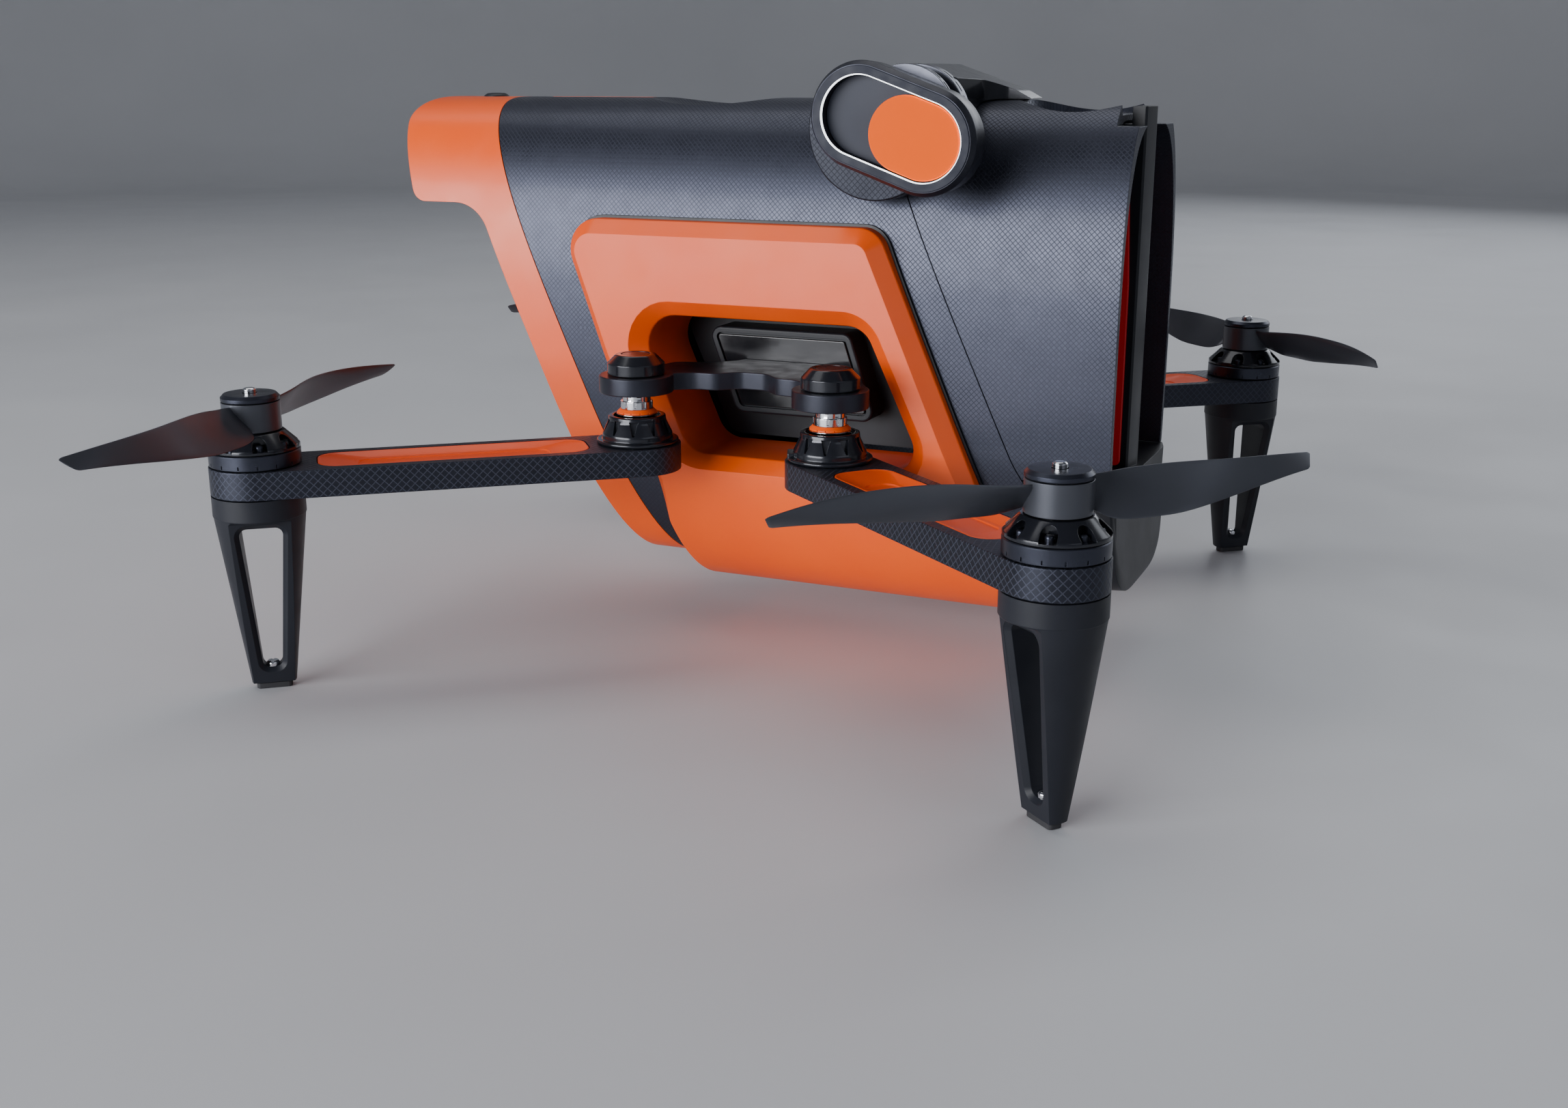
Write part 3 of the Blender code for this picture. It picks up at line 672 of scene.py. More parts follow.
def nose_side():
    """The nose from the side, ahead of the slanted seam."""
    left = [(x + GAP / 2, z) for x, z in NOSE_SEAM]
    return rounded([left[0], (130, 15), (130, 178), *left[:0:-1]], (0.3, 0.3, 0.3, 0.3, 40.0, 14.0))


def nose_shell():
    notch = [(100.5, 0), (103.2, -26), (115, -60), (115, 60), (103.2, 26)]
    below = box((60, -BEYOND, 0), (130, BEYOND, PLUG_TOP + GAP))
    dish = lathe(NOSE_DISH, 96, (NOSE_DISH_X, 0.0))
    return cut(shell_band(nose_side()), below, prism(notch, "z", 163.8, 190), dish)


def tail_cap():
    outline = rounded(TAIL_SEAM + TAIL_SIDE, TAIL_RADII, steps=12)
    solid = common(prism(section(), "x", TAIL_X, 0), prism(outline, "y", -BEYOND, BEYOND))
    beyond = [(x + 20, z) for x, z in TAIL_SEAM]
    hollow = rounded(beyond + TAIL_SIDE, TAIL_RADII, WALL)
    inside = common(prism(section(-WALL, ROOF - WALL), "x", TAIL_X, 40), prism(hollow, "y", -BEYOND, BEYOND))
    well = prism(circle(BUTTON, 4.6, 48), "z", 168.0, 180)
    groove = prism(rounded([(-131, -4), (-127, -4), (-127, 4), (-131, 4)], (1.5,) * 4), "z", 170.5, 175)
    return cut(solid, inside, well, groove)


# Side frames

FRAME_Y, FRAME_BOTTOM, FRAME_BEND_Z, BEND_POWER = 46.0, 13.0, 75.0, 2.6
CHAMFER = 5.0
TUNNEL_END = 14.0
FRAME = [(-27.0, 8.0), (93.5, 8.0), (70.2, 61.3), (37.9, 135.3), (-73.0, 135.3), (-55.7, 87.2), (-38.0, 53.0)]
FRAME_RADII = (0.3, 0.3, 60.0, 9.5, 11.0, 80.0, 80.0)
FRAME_LINE = 0.9  # width of the dark line round a frame


def frame_gap_shade():
    """A dark band that shows as a line round a side frame: painted shade for the shadow in the gap round it.
    """
    side = prism(rounded(FRAME, FRAME_RADII, 0.05), "y", -BEYOND, -GAP / 2)
    band = common(prism(section(1.2), "x", -120, 140), side)
    hole = prism(rounded(FRAME, FRAME_RADII, 2.5), "y", -BEYOND, BEYOND)
    below = box((-120, -BEYOND, 0), (140, BEYOND, FRAME_BOTTOM + 8))
    return cut(band, prism(section(GAP), "x", -130, 150), hole, below)


def front_frame():
    """A chamfered side frame that bends under the body, with its tunnel opening."""
    bend = []
    for step in range(40):
        angle = math.pi / 2 * step / 39
        y = FRAME_Y * math.cos(angle) ** (2 / BEND_POWER)
        z = FRAME_BEND_Z - (FRAME_BEND_Z - FRAME_BOTTOM) * math.sin(angle) ** (2 / BEND_POWER)
        bend.append((-max(y, GAP / 2), z))
    side = common(
        prism([(-GAP / 2, 150.0), (-FRAME_Y, 150.0), *bend], "x", -90, 110),
        layers(
            "y",
            (-FRAME_Y, rounded(FRAME, FRAME_RADII, CHAMFER + 0.2)),
            (CHAMFER - FRAME_Y - 0.4, rounded(FRAME, FRAME_RADII, FRAME_LINE + 0.35)),
            (CHAMFER - FRAME_Y, rounded(FRAME, FRAME_RADII, FRAME_LINE + 0.08)),
            (CHAMFER - FRAME_Y + 0.5, rounded(FRAME, FRAME_RADII, FRAME_LINE)),
            (10.0, rounded(FRAME, FRAME_RADII, FRAME_LINE)),
        ),
    )
    side = cut(side, prism(section(GAP), "x", -120, 140))
    side = join(side, prism(rounded(TUNNEL, TUNNEL_RADII, -LINER), "y", -FRAME_Y + CHAMFER + 1, -TUNNEL_END))
    opening = layers(
        "y",
        (-FRAME_Y - 1, rounded(TUNNEL, TUNNEL_RADII, -CHAMFER - 1)),
        (-FRAME_Y + CHAMFER - 0.4, rounded(TUNNEL, TUNNEL_RADII, -0.4)),
        (-FRAME_Y + CHAMFER + 0.5, rounded(TUNNEL, TUNNEL_RADII)),
        (-TUNNEL_END + 1, rounded(TUNNEL, TUNNEL_RADII)),
    )
    return cut(side, opening)


# Battery pack, nose end and light strips

PACK_FACE = [(-17.0, 72.4), (31.5, 72.4), (22.2, 100.1), (-27.5, 100.1)]
PACK_RADII = (4.0, 3.5, 3.5, 3.5)
PACK_DEPTH, PANEL_BACK = 24.0, 22.8


def pack_outline(inset):
    return rounded(PACK_FACE, PACK_RADII, inset)


def battery_pack():
    core = prism(rounded([(-24, 63), (50, 63), (34, 104), (-42, 104)], (5.0,) * 4), "y", -13, 13)
    pad = pillow(pack_outline, "y", -PACK_DEPTH, PACK_DEPTH, 0.8, 0.8)
    pockets = [prism(pack_outline(2.0), "y", *sorted((side * PANEL_BACK, side * 30))) for side in (1, -1)]
    return cut(join(core, pad), *pockets)


def battery_panel():
    return pillow(lambda inset: pack_outline(2.5 + inset), "y", -PACK_DEPTH, -PANEL_BACK - 0.1, 0.35)


PLUG_LEVELS = [  # place along X, how far it is moved inward, its raised keel, and its forward lean
    (70, 0.3, 2.0, 0.0),
    (100, 0.3, 2.0, 0.0),
    (105, 0.3, 4.5, 0.02),
    (109, 0.3, 5.0, 0.09),
    (109.5, 0.8, 6.0, 0.09),
    (109.8, 1.8, 8.0, 0.09),
]


def nose_plug():
    """The rounded end below the open nose."""
    rings = []
    for x, inset, keel, lean in PLUG_LEVELS:
        outline = section(-inset, keel=keel, bottom_power=4.5)
        rings.append([(x + lean * max(PLUG_TOP - z, 0.0), y, z) for y, z in outline])
    end = common(loft(rings), prism(nose_side(), "y", -BEYOND, BEYOND))
    root = prism(section(-WALL - GAP, keel=3.0), "x", 82, 105)
    return cut(join(end, root), box((60, -BEYOND, PLUG_TOP), (120, BEYOND, 200)))


def nose_frame():
    bulkhead = prism(section(-WALL - GAP, ROOF - WALL), "x", 94.0, 96.6)
    spine = [(95, -7.5), (107.3, -7.5), (107.9, -6.9), (109.1, 0), (107.9, 6.9), (107.3, 7.5), (95, 7.5)]
    clearance = box((90, -20, TOP_Z - ROOF - 3 * GAP), (103.6, 20, 190))
    return join(nose_plug(), bulkhead, cut(prism(spine, "z", PLUG_TOP - 10, 169.2), clearance))


def light_strip():
    corners = [(99.8, 62.4), (105.6, 62.4), (105.4, 118.0), (103.8, 152.0), (99.8, 152.0)]
    outline = rounded(corners, (1.0, 1.6, 40.0, 0.4, 0.4))
    return pillow(lambda inset: shrunk(outline, inset), "y", -8.7, -7.8, 0.3)


# Bridge plates, spindles, collars and knobs

PLATE_BOTTOM, PLATE_TOP, PLATE_RING = 84.7, 90.0, 11.35
TAB_ANGLE = -118  # where the collar's tab is, in degrees from the arm


def softened(points, rounds=3):
    """An open line with its corners cut off again and again; its ends stay."""
    for _ in range(rounds):
        inner = []
        for here, after in zip(points, points[1:]):
            inner += [tuple(Vector(here).lerp(Vector(after), share)) for share in (0.25, 0.75)]
        points = [points[0], *inner, points[-1]]
    return points


def bridge_plate():
    ring = arc((PIVOT_X, -PIVOT_Y), PLATE_RING, 150, 405, 64)
    near = [(0.0, -47.8), (4.6, -47.8), (8.2, -51.4), (10.6, -53.7), (17.4, -53.9), ring[0]]
    far = [ring[-1], (35.2, -47.5), (33.0, -44.0), (32.4, -39.0), (30.0, -36.8), (22.0, -35.0), (15.5, -29.5)]
    half = softened(near)[:-1] + ring + softened([*far, (13.5, -PACK_DEPTH - GAP)])[1:]
    outline = half + [(-x, y) for x, y in reversed(half[1:])]
    plate = pillow(lambda inset: shrunk(outline, inset), "z", PLATE_BOTTOM, PLATE_TOP, 0.35, 0.35, 3)
    bores = [prism(circle((side * PIVOT_X, -PIVOT_Y), 3.4, 48), "z", 80, 95) for side in (1, -1)]
    return cut(plate, *bores)


def round_about(tool, count):
    """Copies of a shape at even steps round the Z axis."""
    return merged(*(turned(tool, 360 * step / count) for step in range(count)))


def pivot_spindle():
    """A chromed pin with a slotted collar and a crown of teeth."""
    profile = [(0, 61.6), (3.9, 61.6), (3.9, 76.9), (6.3, 77.9), (6.3, 78.1), (4.0, 78.1), (4.0, 79.6)]
    profile += [(4.95, 79.6), (4.95, 81.9), (4.3, 81.9), (4.3, 84.4), (3.4, 84.4), (3.4, 80.4), (0, 80.4)]
    body = lathe(turned_profile(profile, 0.12, 2), 96)
    crown = round_about(box((3.0, -0.75, 83.3), (5.5, 0.75, 86.0)), 8)
    slots = round_about(box((4.55, -0.35, 80.1), (6.0, 0.35, 82.4)), 10)
    return cut(body, crown, slots)


def pivot_ring():
    ring = lathe([(4.1, 78.2), (6.1, 78.2), (6.1, 78.6), (5.1, 79.55), (4.1, 79.55)], 96)
    holes = round_about(turned(prism(circle((0, 78.5), 0.2, 12), "x", 5.7, 7.0), 11), 14)
    return cut(ring, holes)


def pivot_collar():
    """The dark cone on the arm, with notches round its rim, and a tab with two marks."""
    profile = [(5.2, 69.2), (12.6, 69.2), (12.6, 70.3), (10.8, 70.3), (10.8, 71.9), (8.9, 75.9)]
    profile += [(8.75, 77.6), (7.2, 77.6), (7.2, 76.0), (5.2, 76.0)]
    body = lathe(turned_profile(profile, 0.45, 4), 120)
    notch = loft([
        [(7.9, -1.3, 76.5), (7.9, 1.3, 76.5), (9.0, 0.25, 72.4), (9.0, -0.25, 72.4)],
        [(13.0, -1.7, 76.5), (13.0, 1.7, 76.5), (13.0, 0.35, 72.4), (13.0, -0.35, 72.4)],
    ])
    tab_sides = [(9.4, -3.2), (12.55, -3.2), (12.55, 3.2), (9.4, 3.2)]
    tab = pillow(lambda inset: rounded(tab_sides, (0.5,) * 4, inset), "z", 69.6, 71.5, 0, 0.3)
    marks = merged(*(box((12.35, y - 0.35, 69.75), (13.2, y + 0.35, 70.1)) for y in (5.0, 6.5)))
    body = join(cut(body, round_about(notch, 10)), turned(tab, TAB_ANGLE))
    return cut(body, turned(marks, TAB_ANGLE))


def clamp_knob():
    profile = [(0, 80.6), (3.0, 80.6), (3.0, 90.3), (8.75, 90.3), (8.75, 93.6), (6.3, 96.05), (5.9, 96.3)]
    profile += [(4.5, 96.3), (4.5, 95.95), (0, 95.95)]
    return lathe(turned_profile(profile, 0.22, 3), 120)


def knob_disc():
    return lathe(turned_profile([(0, 95.9), (4.25, 95.9), (4.25, 96.2), (0, 96.2)], 0.15, 3), 96)


# Arm and leg, along +X from the pivot and about the motor's axis

ARM_BOTTOM, ARM_TOP = 60.6, 68.9
TRAY = [(15.5, -9.8), (96.0, -9.8), (96.0, 9.8), (15.5, 9.8)]
TRAY_RADII = (6.5,) * 4
TRAY_FLOOR = 66.3


def arm():
    ends = (0, 0), (ARM_LENGTH, 0)
    bar = pillow(lambda inset: stadium(*ends, ARM_RADIUS - inset, 48), "z", ARM_BOTTOM, ARM_TOP, 0.3, 0.3, 3)
    tray = prism(rounded(TRAY, TRAY_RADII), "z", TRAY_FLOOR, ARM_TOP + 5)
    return cut(bar, tray, prism(circle((0, 0), 4.3, 48), "z", ARM_BOTTOM - 5, ARM_TOP + 5))


def arm_inlay():
    levels = [(TRAY_FLOOR + GAP, rounded(TRAY, TRAY_RADII, 0.3))]
    for height, inset in ((68.7, 0.3), (68.85, 0.4), (68.9, 0.7), (68.85, 1.0), (68.6, 1.35)):
        levels.append((height, rounded(TRAY, TRAY_RADII, inset)))
    inner = [(26.0, -6.0), (85.5, -6.0), (85.5, 6.0), (26.0, 6.0)]
    for height, inset in ((67.55, 0.0), (67.4, 0.5), (67.35, 1.2), (66.95, 1.5)):
        levels.append((height, rounded(inner, (4.5,) * 4, inset)))
    return layers("z", *levels)


LEG_TOP, LEG_FLAT_TOP, LEG_BOTTOM = 60.3, 53.9, 2.0
LEG_SLOT = [(-2.7, 6.7), (2.7, 6.7), (6.3, 51.2), (-6.3, 51.2)]
LEG_SLOT_RADII, LEG_BEVEL = (2.2,) * 4, 1.35


def leg_flat(height):
    """How far a leg's flat side is from its middle, at a height."""
    return 2.4 + (height / LEG_FLAT_TOP) * 7.2


def leg():
    profile = [(0, LEG_BOTTOM), (6.5, LEG_BOTTOM), (13.1, LEG_FLAT_TOP), (ARM_RADIUS, 54.2)]
    body = lathe([*profile, (ARM_RADIUS, LEG_TOP), (0, LEG_TOP)], 128)
    flat = [(leg_flat(0), 0), (30, 0), (30, LEG_FLAT_TOP), (leg_flat(LEG_FLAT_TOP) + 0.8, LEG_FLAT_TOP)]
    flat.append((leg_flat(LEG_FLAT_TOP), LEG_FLAT_TOP - 0.8))
    body = cut(body, prism(flat, "x", -30, 30), prism([(-y, z) for y, z in reversed(flat)], "x", -30, 30))
    body = cut(body, prism(rounded(LEG_SLOT, LEG_SLOT_RADII), "y", -20, 20))
    slot, mouth = rounded(LEG_SLOT, LEG_SLOT_RADII), rounded(LEG_SLOT, LEG_SLOT_RADII, -LEG_BEVEL)
    for side in (1, -1):
        inner = [(x, side * (leg_flat(z) - LEG_BEVEL), z) for x, z in slot]
        outer = [(x, side * (leg_flat(z) + 0.02), z) for x, z in mouth]
        beyond = [(x, side * (leg_flat(z) + 4.0), z) for x, z in mouth]
        body = cut(body, loft([inner, outer, beyond]))
    return body


def foot_pad():
    pad = [(-5.2, -2.1), (5.2, -2.1), (5.2, 2.1), (-5.2, 2.1)]
    return pillow(lambda inset: rounded(pad, (1.2,) * 4, inset), "z", 0, LEG_BOTTOM - GAP, 0.25)


def foot_screw():
    head = lathe(turned_profile([(0, 6.4), (1.9, 6.4), (1.9, 7.7), (1.5, 8.3), (0, 8.5)], 0.2, 3), 48)
    return cut(head, box((-0.25, -3, 7.9), (0.25, 3, 9.0)))


# Motor and propeller, about the motor's axis

BLADE_RADIUS = 76.2


def motor_base():
    profile = [(2.4, 69.2), (12.9, 69.2), (13.06, 69.4), (13.06, 73.2), (12.8, 73.5), (2.4, 73.5)]
    dash = box((12.6, -0.2, 69.6), (14, 0.2, 70.6))
    return cut(lathe(profile, 128), merged(*(turned(dash, angle) for angle in range(-170, 190, 24))))


def bell_pocket():
    arch = [(-2.1, 74.5), (2.1, 74.5), (2.1, 76.1), *arc((0, 76.1), 2.1, 0, 180, 16)[1:-1], (-2.1, 76.1)]
    return prism(arch, "x", 7.9, 15.0)


def rotor_bell():
    profile = [(0, 70.0), (1.83, 70.0), (1.83, 75.8), (9.2, 75.8), (11.6, 73.8), (13.0, 73.8), (13.0, 74.7)]
    profile += [(12.8, 75.05), (9.0, 78.75), (8.4, 79.0), (7.4, 79.0), (7.4, 78.6), (6.6, 78.6)]
    profile += [(6.6, 87.5), (0, 87.5)]
    return cut(lathe(profile, 128), round_about(bell_pocket(), 8))


def bell_screws():
    profile = turned_profile([(0, 73.9), (1.15, 73.9), (1.15, 75.7), (0.9, 76.1), (0, 76.1)], 0.15, 2)
    return round_about(lathe(profile, 24, (10.2, 0.0)), 8)


def shaft():
    return lathe(turned_profile([(0, 86.0), (1.83, 86.0), (1.83, 90.9), (1.3, 91.3), (0, 91.3)], 0.15, 3), 64)


def hub_cap():
    profile = [(2.1, 87.75), (8.1, 87.75), (8.3, 87.95), (8.3, 88.85), (7.45, 89.75), (7.2, 89.8)]
    return lathe([*profile, (2.1, 89.8)], 120)


STATIONS = [  # distance out, offset and height of the upper edge, then of the lower edge
    (7.7, 0.9, 86.8, 6.6, -4.6, 80.2),
    (10.5, 1.2, 87.0, 8.8, -7.2, 78.8),
    (14.0, 1.0, 87.2, 13.0, -8.3, 77.9),
    (20.0, 0.3, 87.8, 20.0, -9.2, 77.8),
    (28.0, -1.7, 88.4, 28.0, -9.5, 77.9),
    (36.0, -3.5, 88.6, 36.0, -9.2, 78.7),
    (46.0, -4.6, 88.4, 46.0, -8.0, 79.9),
    (56.0, -4.3, 88.0, 56.0, -6.6, 81.2),
    (66.0, -2.7, 87.3, 66.0, -5.0, 82.3),
    (BLADE_RADIUS, -0.3, 86.3, 73.4, -3.8, 82.9),
]


def station_at(share):
    """The blade's edges at a share of its length, on a smooth line through the stations."""
    place = share * (len(STATIONS) - 1)
    index = min(int(place), len(STATIONS) - 2)
    t = place - index
    near = [STATIONS[max(0, min(len(STATIONS) - 1, index + shift))] for shift in (-1, 0, 1, 2)]
    return [
        0.5 * (2 * b + (c - a) * t + (2 * a - 5 * b + 4 * c - d) * t**2 + (3 * b - a - 3 * c + d) * t**3)
        for a, b, c, d in zip(*near)
    ]


# The blade's section: place along its chord, and height as a share of its thickness.
BLADE_SECTION = [(0.0, 0.0), (0.012, 0.28), (0.05, 0.5), (0.15, 0.72), (0.3, 0.86), (0.5, 0.88), (0.7, 0.74)]
BLADE_SECTION += [(0.88, 0.4), (0.97, 0.2), (1.0, 0.06), (0.97, -0.05), (0.85, -0.1), (0.6, -0.12)]
BLADE_SECTION += [(0.3, -0.14), (0.08, -0.16), (0.015, -0.12)]


def blade(turn):
    rings = []
    for share in [step / 44 for step in range(44)] + [0.985, 0.995, 1.0]:
        station = station_at(share)
        upper, lower = Vector(station[:3]), Vector(station[3:])
        chord = lower - upper
        tip = max(0.0, (share - 0.975) / 0.025)
        upper, chord = upper + chord * 0.11 * tip**2, chord * (1 - 0.22 * tip**2)
        across = Vector((0.0, chord.z, -chord.y)).normalized()
        thickness = (0.5 + 0.9 * (1 - station[0] / BLADE_RADIUS)) * (1 - 0.5 * tip**2)
        ring = []
        for along, lift in BLADE_SECTION:
            point = upper + chord * along - across * lift * thickness
            ring.append((point.x, turn * point.y, point.z))
        rings.append(ring)
    return loft(rings)


def propeller(turn):
    hub = lathe(turned_profile([(6.9, 79.3), (8.3, 79.3), (8.3, 87.5), (6.9, 87.5)], 0.2, 3), 120)
    both = blade(turn)
    return join(hub, both, turned(both, 180))


# Camera mount, gimbal arm, pod and cover, button


def camera_mount():
    boss = pillow(lambda inset: circle(BOSS_CENTRE, BOSS_RADIUS - inset, 120), "y", -44, 0, 0.5)
    pocket = prism(circle(POD_AXIS, 15.5), "y", -60, -32.6)
    return cut(boss, box((0, -60, 170.3), (80, 10, 200)), prism(section(GAP), "x", 0, 80), pocket)


def gimbal_drum():
    spool = [(0, -48.0), (15.0, -48.0), (15.0, -45.0), (11.5, -45.0), (11.5, -42.2), (13.4, -42.2)]
    spool += [(13.4, -41.0), (11.5, -41.0), (11.5, -38.0), (15.0, -38.0), (15.0, -33.0), (0, -33.0)]
    drum = lathe(turned_profile(spool, 0.25, 2), 128, POD_AXIS, "y")
    holes = []
    for low, high in ((-47.4, -45.6), (-37.0, -34.6)):
        for step in range(20):
            tool = prism(stadium((-1.3, (low + high) / 2), (1.3, (low + high) / 2), 0.45, 6), "z", 14.2, 17)
            tool.transform(Matrix.Rotation(math.radians(18 * step), 4, "Y"))
            tool.transform(Matrix.Translation(Vector((POD_AXIS[0], 0, POD_AXIS[1])) * MM))
            holes.append(tool)
    return cut(drum, merged(*holes))


def gimbal_fin():
    side = [(40, 170.8), (57.8, 170.8), (59, 166), (74, 166), (74, 170.6), (68.4, 173.6)]
    side += [(46.4, 181.2), (40, 181.2)]
    side = rounded(side, (0.3, 0.3, 0.3, 0.3, 0.8, 8.0, 3.0, 0.3))
    plan = [(40, -34.5), (58, -34.5), (59.6, -12), (64, -7.5), (75, -6.5), (75, 6), (40, 6)]
    plan = rounded(plan, (0.5, 2.0, 6.0, 6.0, 0.5, 0.5, 0.5))
    fin = common(prism(side, "y", -40, 10), prism(plan, "z", 150, 190))
    return cut(fin, prism(section(GAP), "x", 0, 100))


def pod(radius):
    return stadium(POD_HIGH_END, POD_LOW_END, radius, 48)


def pod_housing():
    levels = ((-48.4, 14.2), (-48.7, 14.6), (-57.2, 15.0), (-57.7, 14.9), (-59.55, 13.85), (-59.6, 13.7))
    outside = layers("y", *((y, pod(radius)) for y, radius in levels))
    return cut(outside, prism(pod(11.35), "y", -70, -54.5))


def pod_face():
    plate = pillow(lambda inset: pod(13.6 - inset), "y", -60.0, -59.65, 0.25, 0, 3)
    return cut(plate, prism(pod(11.3), "y", -70, -50))


def pod_lamp():
    plate = prism(pod(11.3), "y", -59.75, -58.9)
    return cut(plate, prism(pod(11.02), "y", -70, -50))


def pod_window():
    return pillow(lambda inset: pod(11.2 - inset), "y", -55.1, -54.55, 0.2)


def lens_cover():
    slide = (Vector(POD_HIGH_END) - Vector(POD_LOW_END)).normalized()
    near = tuple(Vector(POD_LOW_END) + slide * 6.0)
    return pillow(lambda inset: stadium(near, POD_LOW_END, 10.6 - inset, 48), "y", -59.4, -55.2, 0.4)


def power_button():
    side = [(0, 169.1), (4.3, 169.1), (4.3, 171.2), (3.3, 171.9), (2.7, 172.1), (2.5, 171.9), (0, 171.9)]
    return lathe(turned_profile(side, 0.2, 3), 72)


def button_disc():
    side = [(0, 171.7), (2.4, 171.7), (2.4, 172.0), (1.6, 172.18), (0, 172.2)]
    return lathe(turned_profile(side, 0.15, 3), 64)


# Assembly


def build_airframe():
    body = "airframe"
    front = front_frame()
    gap_shade = frame_gap_shade()
    plate = bridge_plate()
    strip = light_strip()
    panel = battery_panel()
    rows = (
        ("shell_main", weave_on(main_shell(), on_body), "body_carbon", "carbon_weave", "main_shell"),
        ("shell_nose", weave_on(nose_shell(), on_body), "body_carbon", "carbon_weave", "nose_shell"),
        ("tail_hook", tail_cap(), "orange", "orange_satin", "tail_cap"),
        ("frame_front", front, "orange", "orange_satin", "front_side_frame"),
        ("frame_rear", mirrored(front), "orange", "orange_satin", "rear_side_frame"),
        # dark bands round the side frames: painted shade of the gaps there
        ("gap_shade_front", gap_shade, "frame_plastic", "black_plastic", None),
        ("gap_shade_rear", mirrored(gap_shade), "frame_plastic", "black_plastic", None),
        ("roof_inlay", box((-96, -1.4, 169.5), (-57.5, 1.4, 171.03)), "orange", "orange_satin", None),
        ("battery_frame", battery_pack(), "frame_plastic", "black_plastic", "battery_pack"),
        ("battery_panel_front", panel, "glass", "black_plastic", None),
        ("battery_panel_rear", mirrored(panel), "glass", "black_plastic", None),
        ("nose_end", nose_frame(), "frame_plastic", "black_plastic", "nose_frame"),
        ("light_front", strip, "red", "red_lens", "front_light_strip"),
        ("light_rear", mirrored(strip), "red", "red_lens", "rear_light_strip"),
        ("bridge_front", plate, "anodised", "clamp_metal", "front_bridge_plate"),
        ("bridge_rear", mirrored(plate), "anodised", "clamp_metal", "rear_bridge_plate"),
        # the camera boss wears the carbon darkened with painted shade
        ("camera_boss", weave_on(camera_mount(), on_boss), "boss_carbon_painted_shade", "carbon_weave", "camera_mount"),
        ("gimbal_drum", gimbal_drum(), "flange_metal", "black_anodised", "gimbal_arm"),
        ("gimbal_fin", gimbal_fin(), "gloss_metal", "black_anodised", None),
    )
    for name, mesh, look, slot, replaces in rows:
        piece(name, mesh, look, body, replaces)


def build_pod_and_button():
    piece("pod_body", pod_housing(), "anodised", "camera_pod", "pod_housing")
    piece("pod_face", pod_face(), "face_grey", "camera_pod")
    piece("pod_lamp", pod_lamp(), "lamp", "camera_pod")
    piece("pod_window", pod_window(), "window", "camera_pod")
    piece("cover_slot", lens_cover(), "cover_orange", "pod_cover", "lens_cover")
    at_button = Matrix.Translation(CENTRE + Vector((*BUTTON, 0)) * MM)
    piece("button_rim", power_button(), "plastic", "button", "power_button", at_button)
    piece("button_disc", button_disc(), "flange_metal", "button", None, at_button)


def build_corner(corner, shared):
    blades, turn = CORNERS[corner]
    pivot = Vector(JOINTS[corner + "_arm_fold"]["pos_m"]) * Vector((1, 1, 0))
    motor = Vector(JOINTS[corner + "_rotor_spin"]["pos_m"]) * Vector((1, 1, 0))
    direction = math.atan2(motor.y - pivot.y, motor.x - pivot.x)
    at_pivot = Matrix.Translation(pivot) @ Matrix.Rotation(direction, 4, "Z")
    at_motor = Matrix.Translation(motor) @ Matrix.Rotation(direction, 4, "Z")
    at_rotor = Matrix.Translation(motor) @ Matrix.Rotation(math.radians(blades), 4, "Z")
    rows = (
        ("bar", "arm", "arm_carbon", "arm", "arm_carbon", "arm", at_pivot),
        ("tray", "arm_inlay", "arm_orange", "arm", "arm_orange", "arm_inlay", at_pivot),
        ("collar", "pivot_collar", "gloss_metal", "arm", "clamp_metal", "pivot_collar", at_pivot),
        ("spindle", "pivot_spindle", "chrome", None, "spindle_chrome", "pivot_spindle", at_pivot),
        ("ring", "pivot_ring", "orange", None, "orange_satin", None, at_pivot),
        ("knob", "clamp_knob", "gloss_metal", "knob", "clamp_metal", "clamp_knob", at_pivot),
        ("knob_disc", "knob_disc", "turned_metal", "knob", "clamp_metal", None, at_pivot),
        ("support", "leg", "plastic", "arm", "leg_plastic", "leg", at_motor),
        ("sole", "foot_pad", "rubber", "arm", "foot_rubber", "foot_pad", at_motor),
        ("screw", "foot_screw", "chrome", "arm", "spindle_chrome", None, at_motor),
        ("base", "motor_base", "turned_metal", "arm", "motor_metal", "motor_base", at_motor),
        ("bell", "rotor_bell", "gloss_metal", "rotor", "rotor_metal", "rotor_bell", at_rotor),
        ("bell_screws", "bell_screws", "turned_metal", "rotor", "rotor_metal", None, at_rotor),
        ("shaft", "shaft", "chrome", "rotor", "rotor_metal", None, at_rotor),
        ("cap", "hub_cap", "turned_metal", "rotor", "rotor_metal", "hub_cap", at_rotor),
        ("blades", turn, "blade_plastic", "rotor", "propeller_plastic", "propeller", at_rotor),
    )
    for name, shape, look, body, slot, node, place in rows:
        body = f"{corner}_{body}" if body else "airframe"
        replaces = f"{corner}_{node}" if node else None
        piece(f"{corner}_{name}_piece", shared[shape], look, body, replaces, place)


FLOOR_RADIUS, FLOOR_CURVE, FLOOR_DROP = 2400, 900, 0.05
WALL_HEIGHT = 3200.0
LIGHT_AIM = Vector((0, 0, 0.09))  # metres above the middle between the feet
LIGHTS = (  # name, place in metres, height, power in watts, colour
    ("key", (-0.66, -1.42, 0.36), 0.62, 33.0, (0.96, 0.97, 1.0)),
    ("top", (-0.35, 0.35, 1.60), 0.8, 8.0, (1.0, 0.99, 0.98)),
    ("fill", (1.50, -0.70, 0.80), 0.6, 2.2, (0.86, 0.90, 1.0)),
    ("rim", (0.60, 1.60, 0.80), 0.8, 9.0, (0.90, 0.94, 1.0)),
)
LIGHT_WIDTH = 2.2  # as a share of a light's height


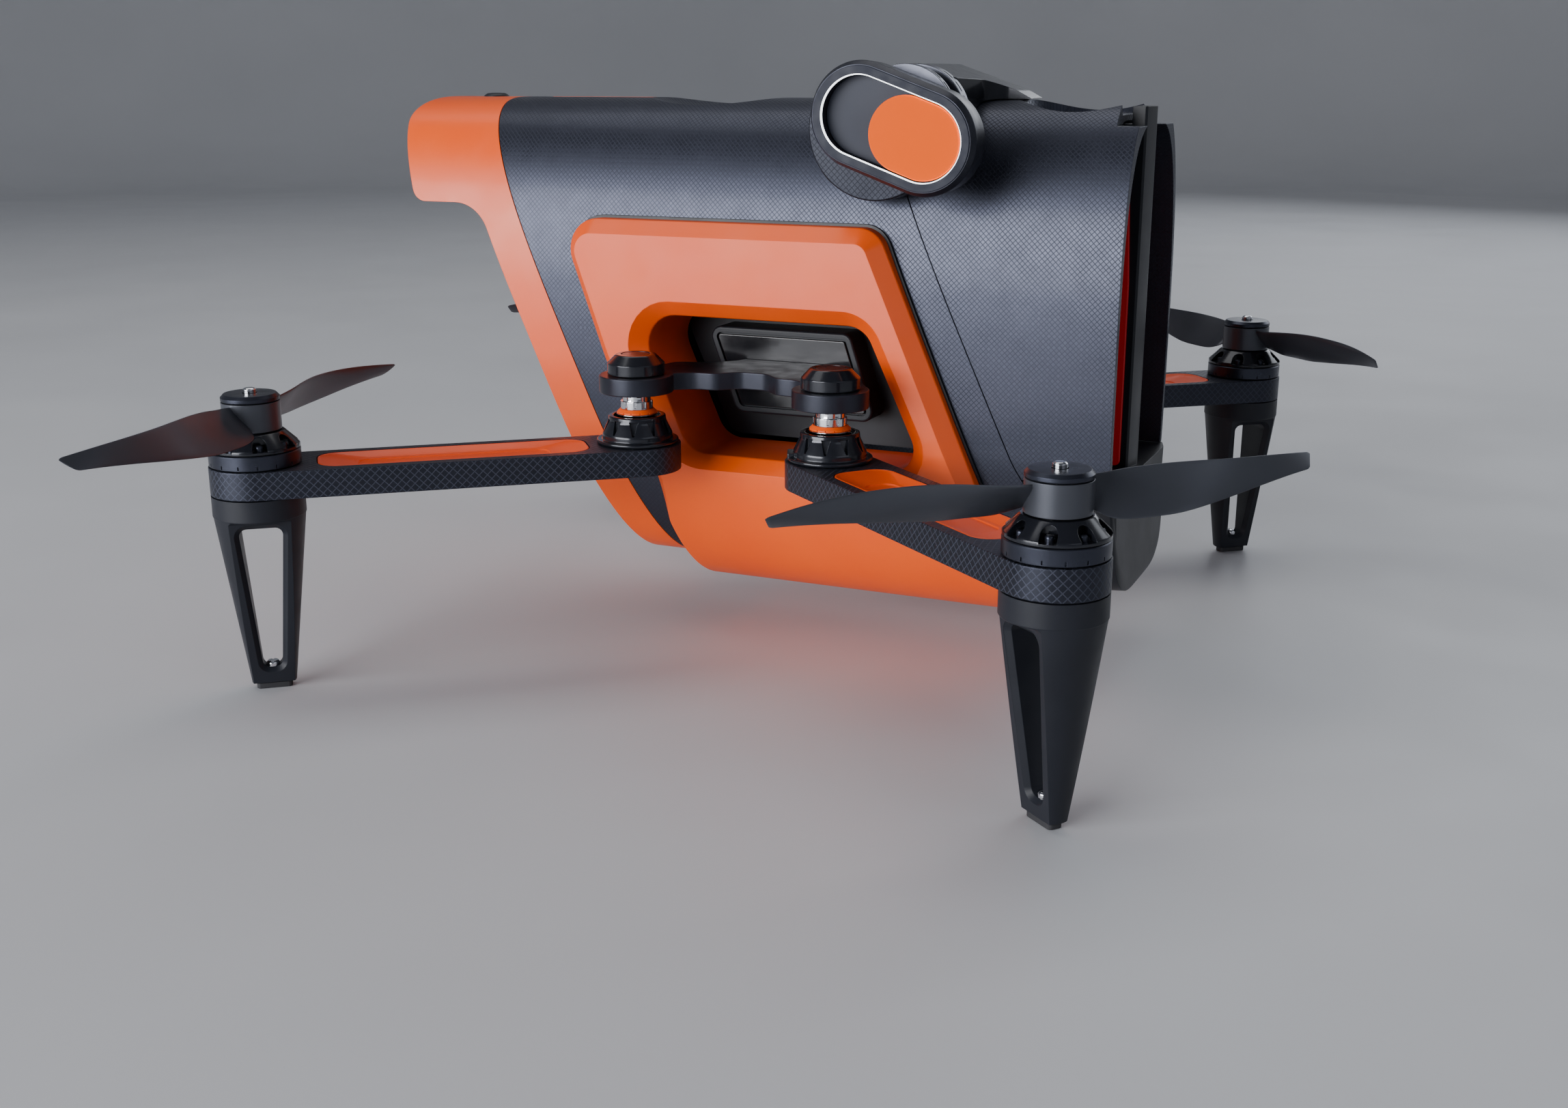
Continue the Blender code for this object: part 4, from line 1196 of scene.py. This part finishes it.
def build_stage():
    """A pale floor that curves up into a wall all round, and soft lights."""
    profile = [(FLOOR_RADIUS, -FLOOR_DROP)]
    for angle in (math.radians(degrees) for degrees in range(6, 91, 6)):
        rise = FLOOR_CURVE - FLOOR_CURVE * math.cos(angle)
        profile.append((FLOOR_RADIUS + FLOOR_CURVE * math.sin(angle), rise - FLOOR_DROP))
    profile.append((FLOOR_RADIUS + FLOOR_CURVE, WALL_HEIGHT))
    rings = [on_axis(circle((0, 0), radius, 96), "z", height) for radius, height in profile]
    floor = bpy.data.objects.new("floor", mesh_of(*skin(rings)))
    floor.data.flip_normals()
    bpy.context.scene.collection.objects.link(floor)
    floor.data.shade_smooth()
    floor.data.materials.append(finish(
        "floor", (0.60, 0.61, 0.63), (0.63, 0.64, 0.66), 0.55,
        patch=300.0, grain=3.0, relief=0.02, edge=0.5,
    ))

    world = bpy.data.worlds.new("studio")
    world.use_nodes = True
    feed(world.node_tree.nodes["Background"], {"Color": (0.80, 0.85, 1.0), "Strength": 0.10})
    bpy.context.scene.world = world
    for name, place, size, power, colour in LIGHTS:
        light = bpy.data.objects.new(name, bpy.data.lights.new(name, "AREA"))
        light.data.shape = "RECTANGLE"
        light.data.size = LIGHT_WIDTH * size
        light.data.size_y = size
        light.data.energy = power
        light.data.color = colour
        light.location = place
        light.rotation_euler = (CENTRE + LIGHT_AIM - light.location).to_track_quat("-Z", "Y").to_euler()
        bpy.context.scene.collection.objects.link(light)


CAMERA_PLACE = Vector((0.2143, -0.5094, 0.1772))  # metres from the middle between the feet
CAMERA_YAW, CAMERA_PITCH, CAMERA_LENS = 23.837, 15.897, 38.42


def build_camera():
    yaw, pitch = math.radians(CAMERA_YAW), math.radians(CAMERA_PITCH)
    forward = Vector((-math.sin(yaw) * math.cos(pitch), math.cos(yaw) * math.cos(pitch), -math.sin(pitch)))
    camera = bpy.data.objects.new("camera", bpy.data.cameras.new("camera"))
    camera.data.lens = CAMERA_LENS
    camera.data.sensor_width = 36.0
    camera.data.clip_start = 0.01
    camera.location = CENTRE + CAMERA_PLACE
    camera.rotation_euler = forward.to_track_quat("-Z", "Y").to_euler()
    bpy.context.scene.collection.objects.link(camera)
    bpy.context.scene.camera = camera


build_camera()
build_airframe()
build_pod_and_button()
AT_PIVOT = (arm_inlay, pivot_collar, pivot_spindle, pivot_ring, clamp_knob, knob_disc)
AT_MOTOR = (leg, foot_pad, foot_screw, motor_base, rotor_bell, bell_screws, shaft, hub_cap)
SHARED = {make.__name__: make() for make in AT_PIVOT + AT_MOTOR}
SHARED["arm"] = weave_on(arm(), on_arm)
SHARED.update({turn: propeller(turn) for turn in (1, -1)})
for corner_name in CORNERS:
    build_corner(corner_name, SHARED)
build_stage()
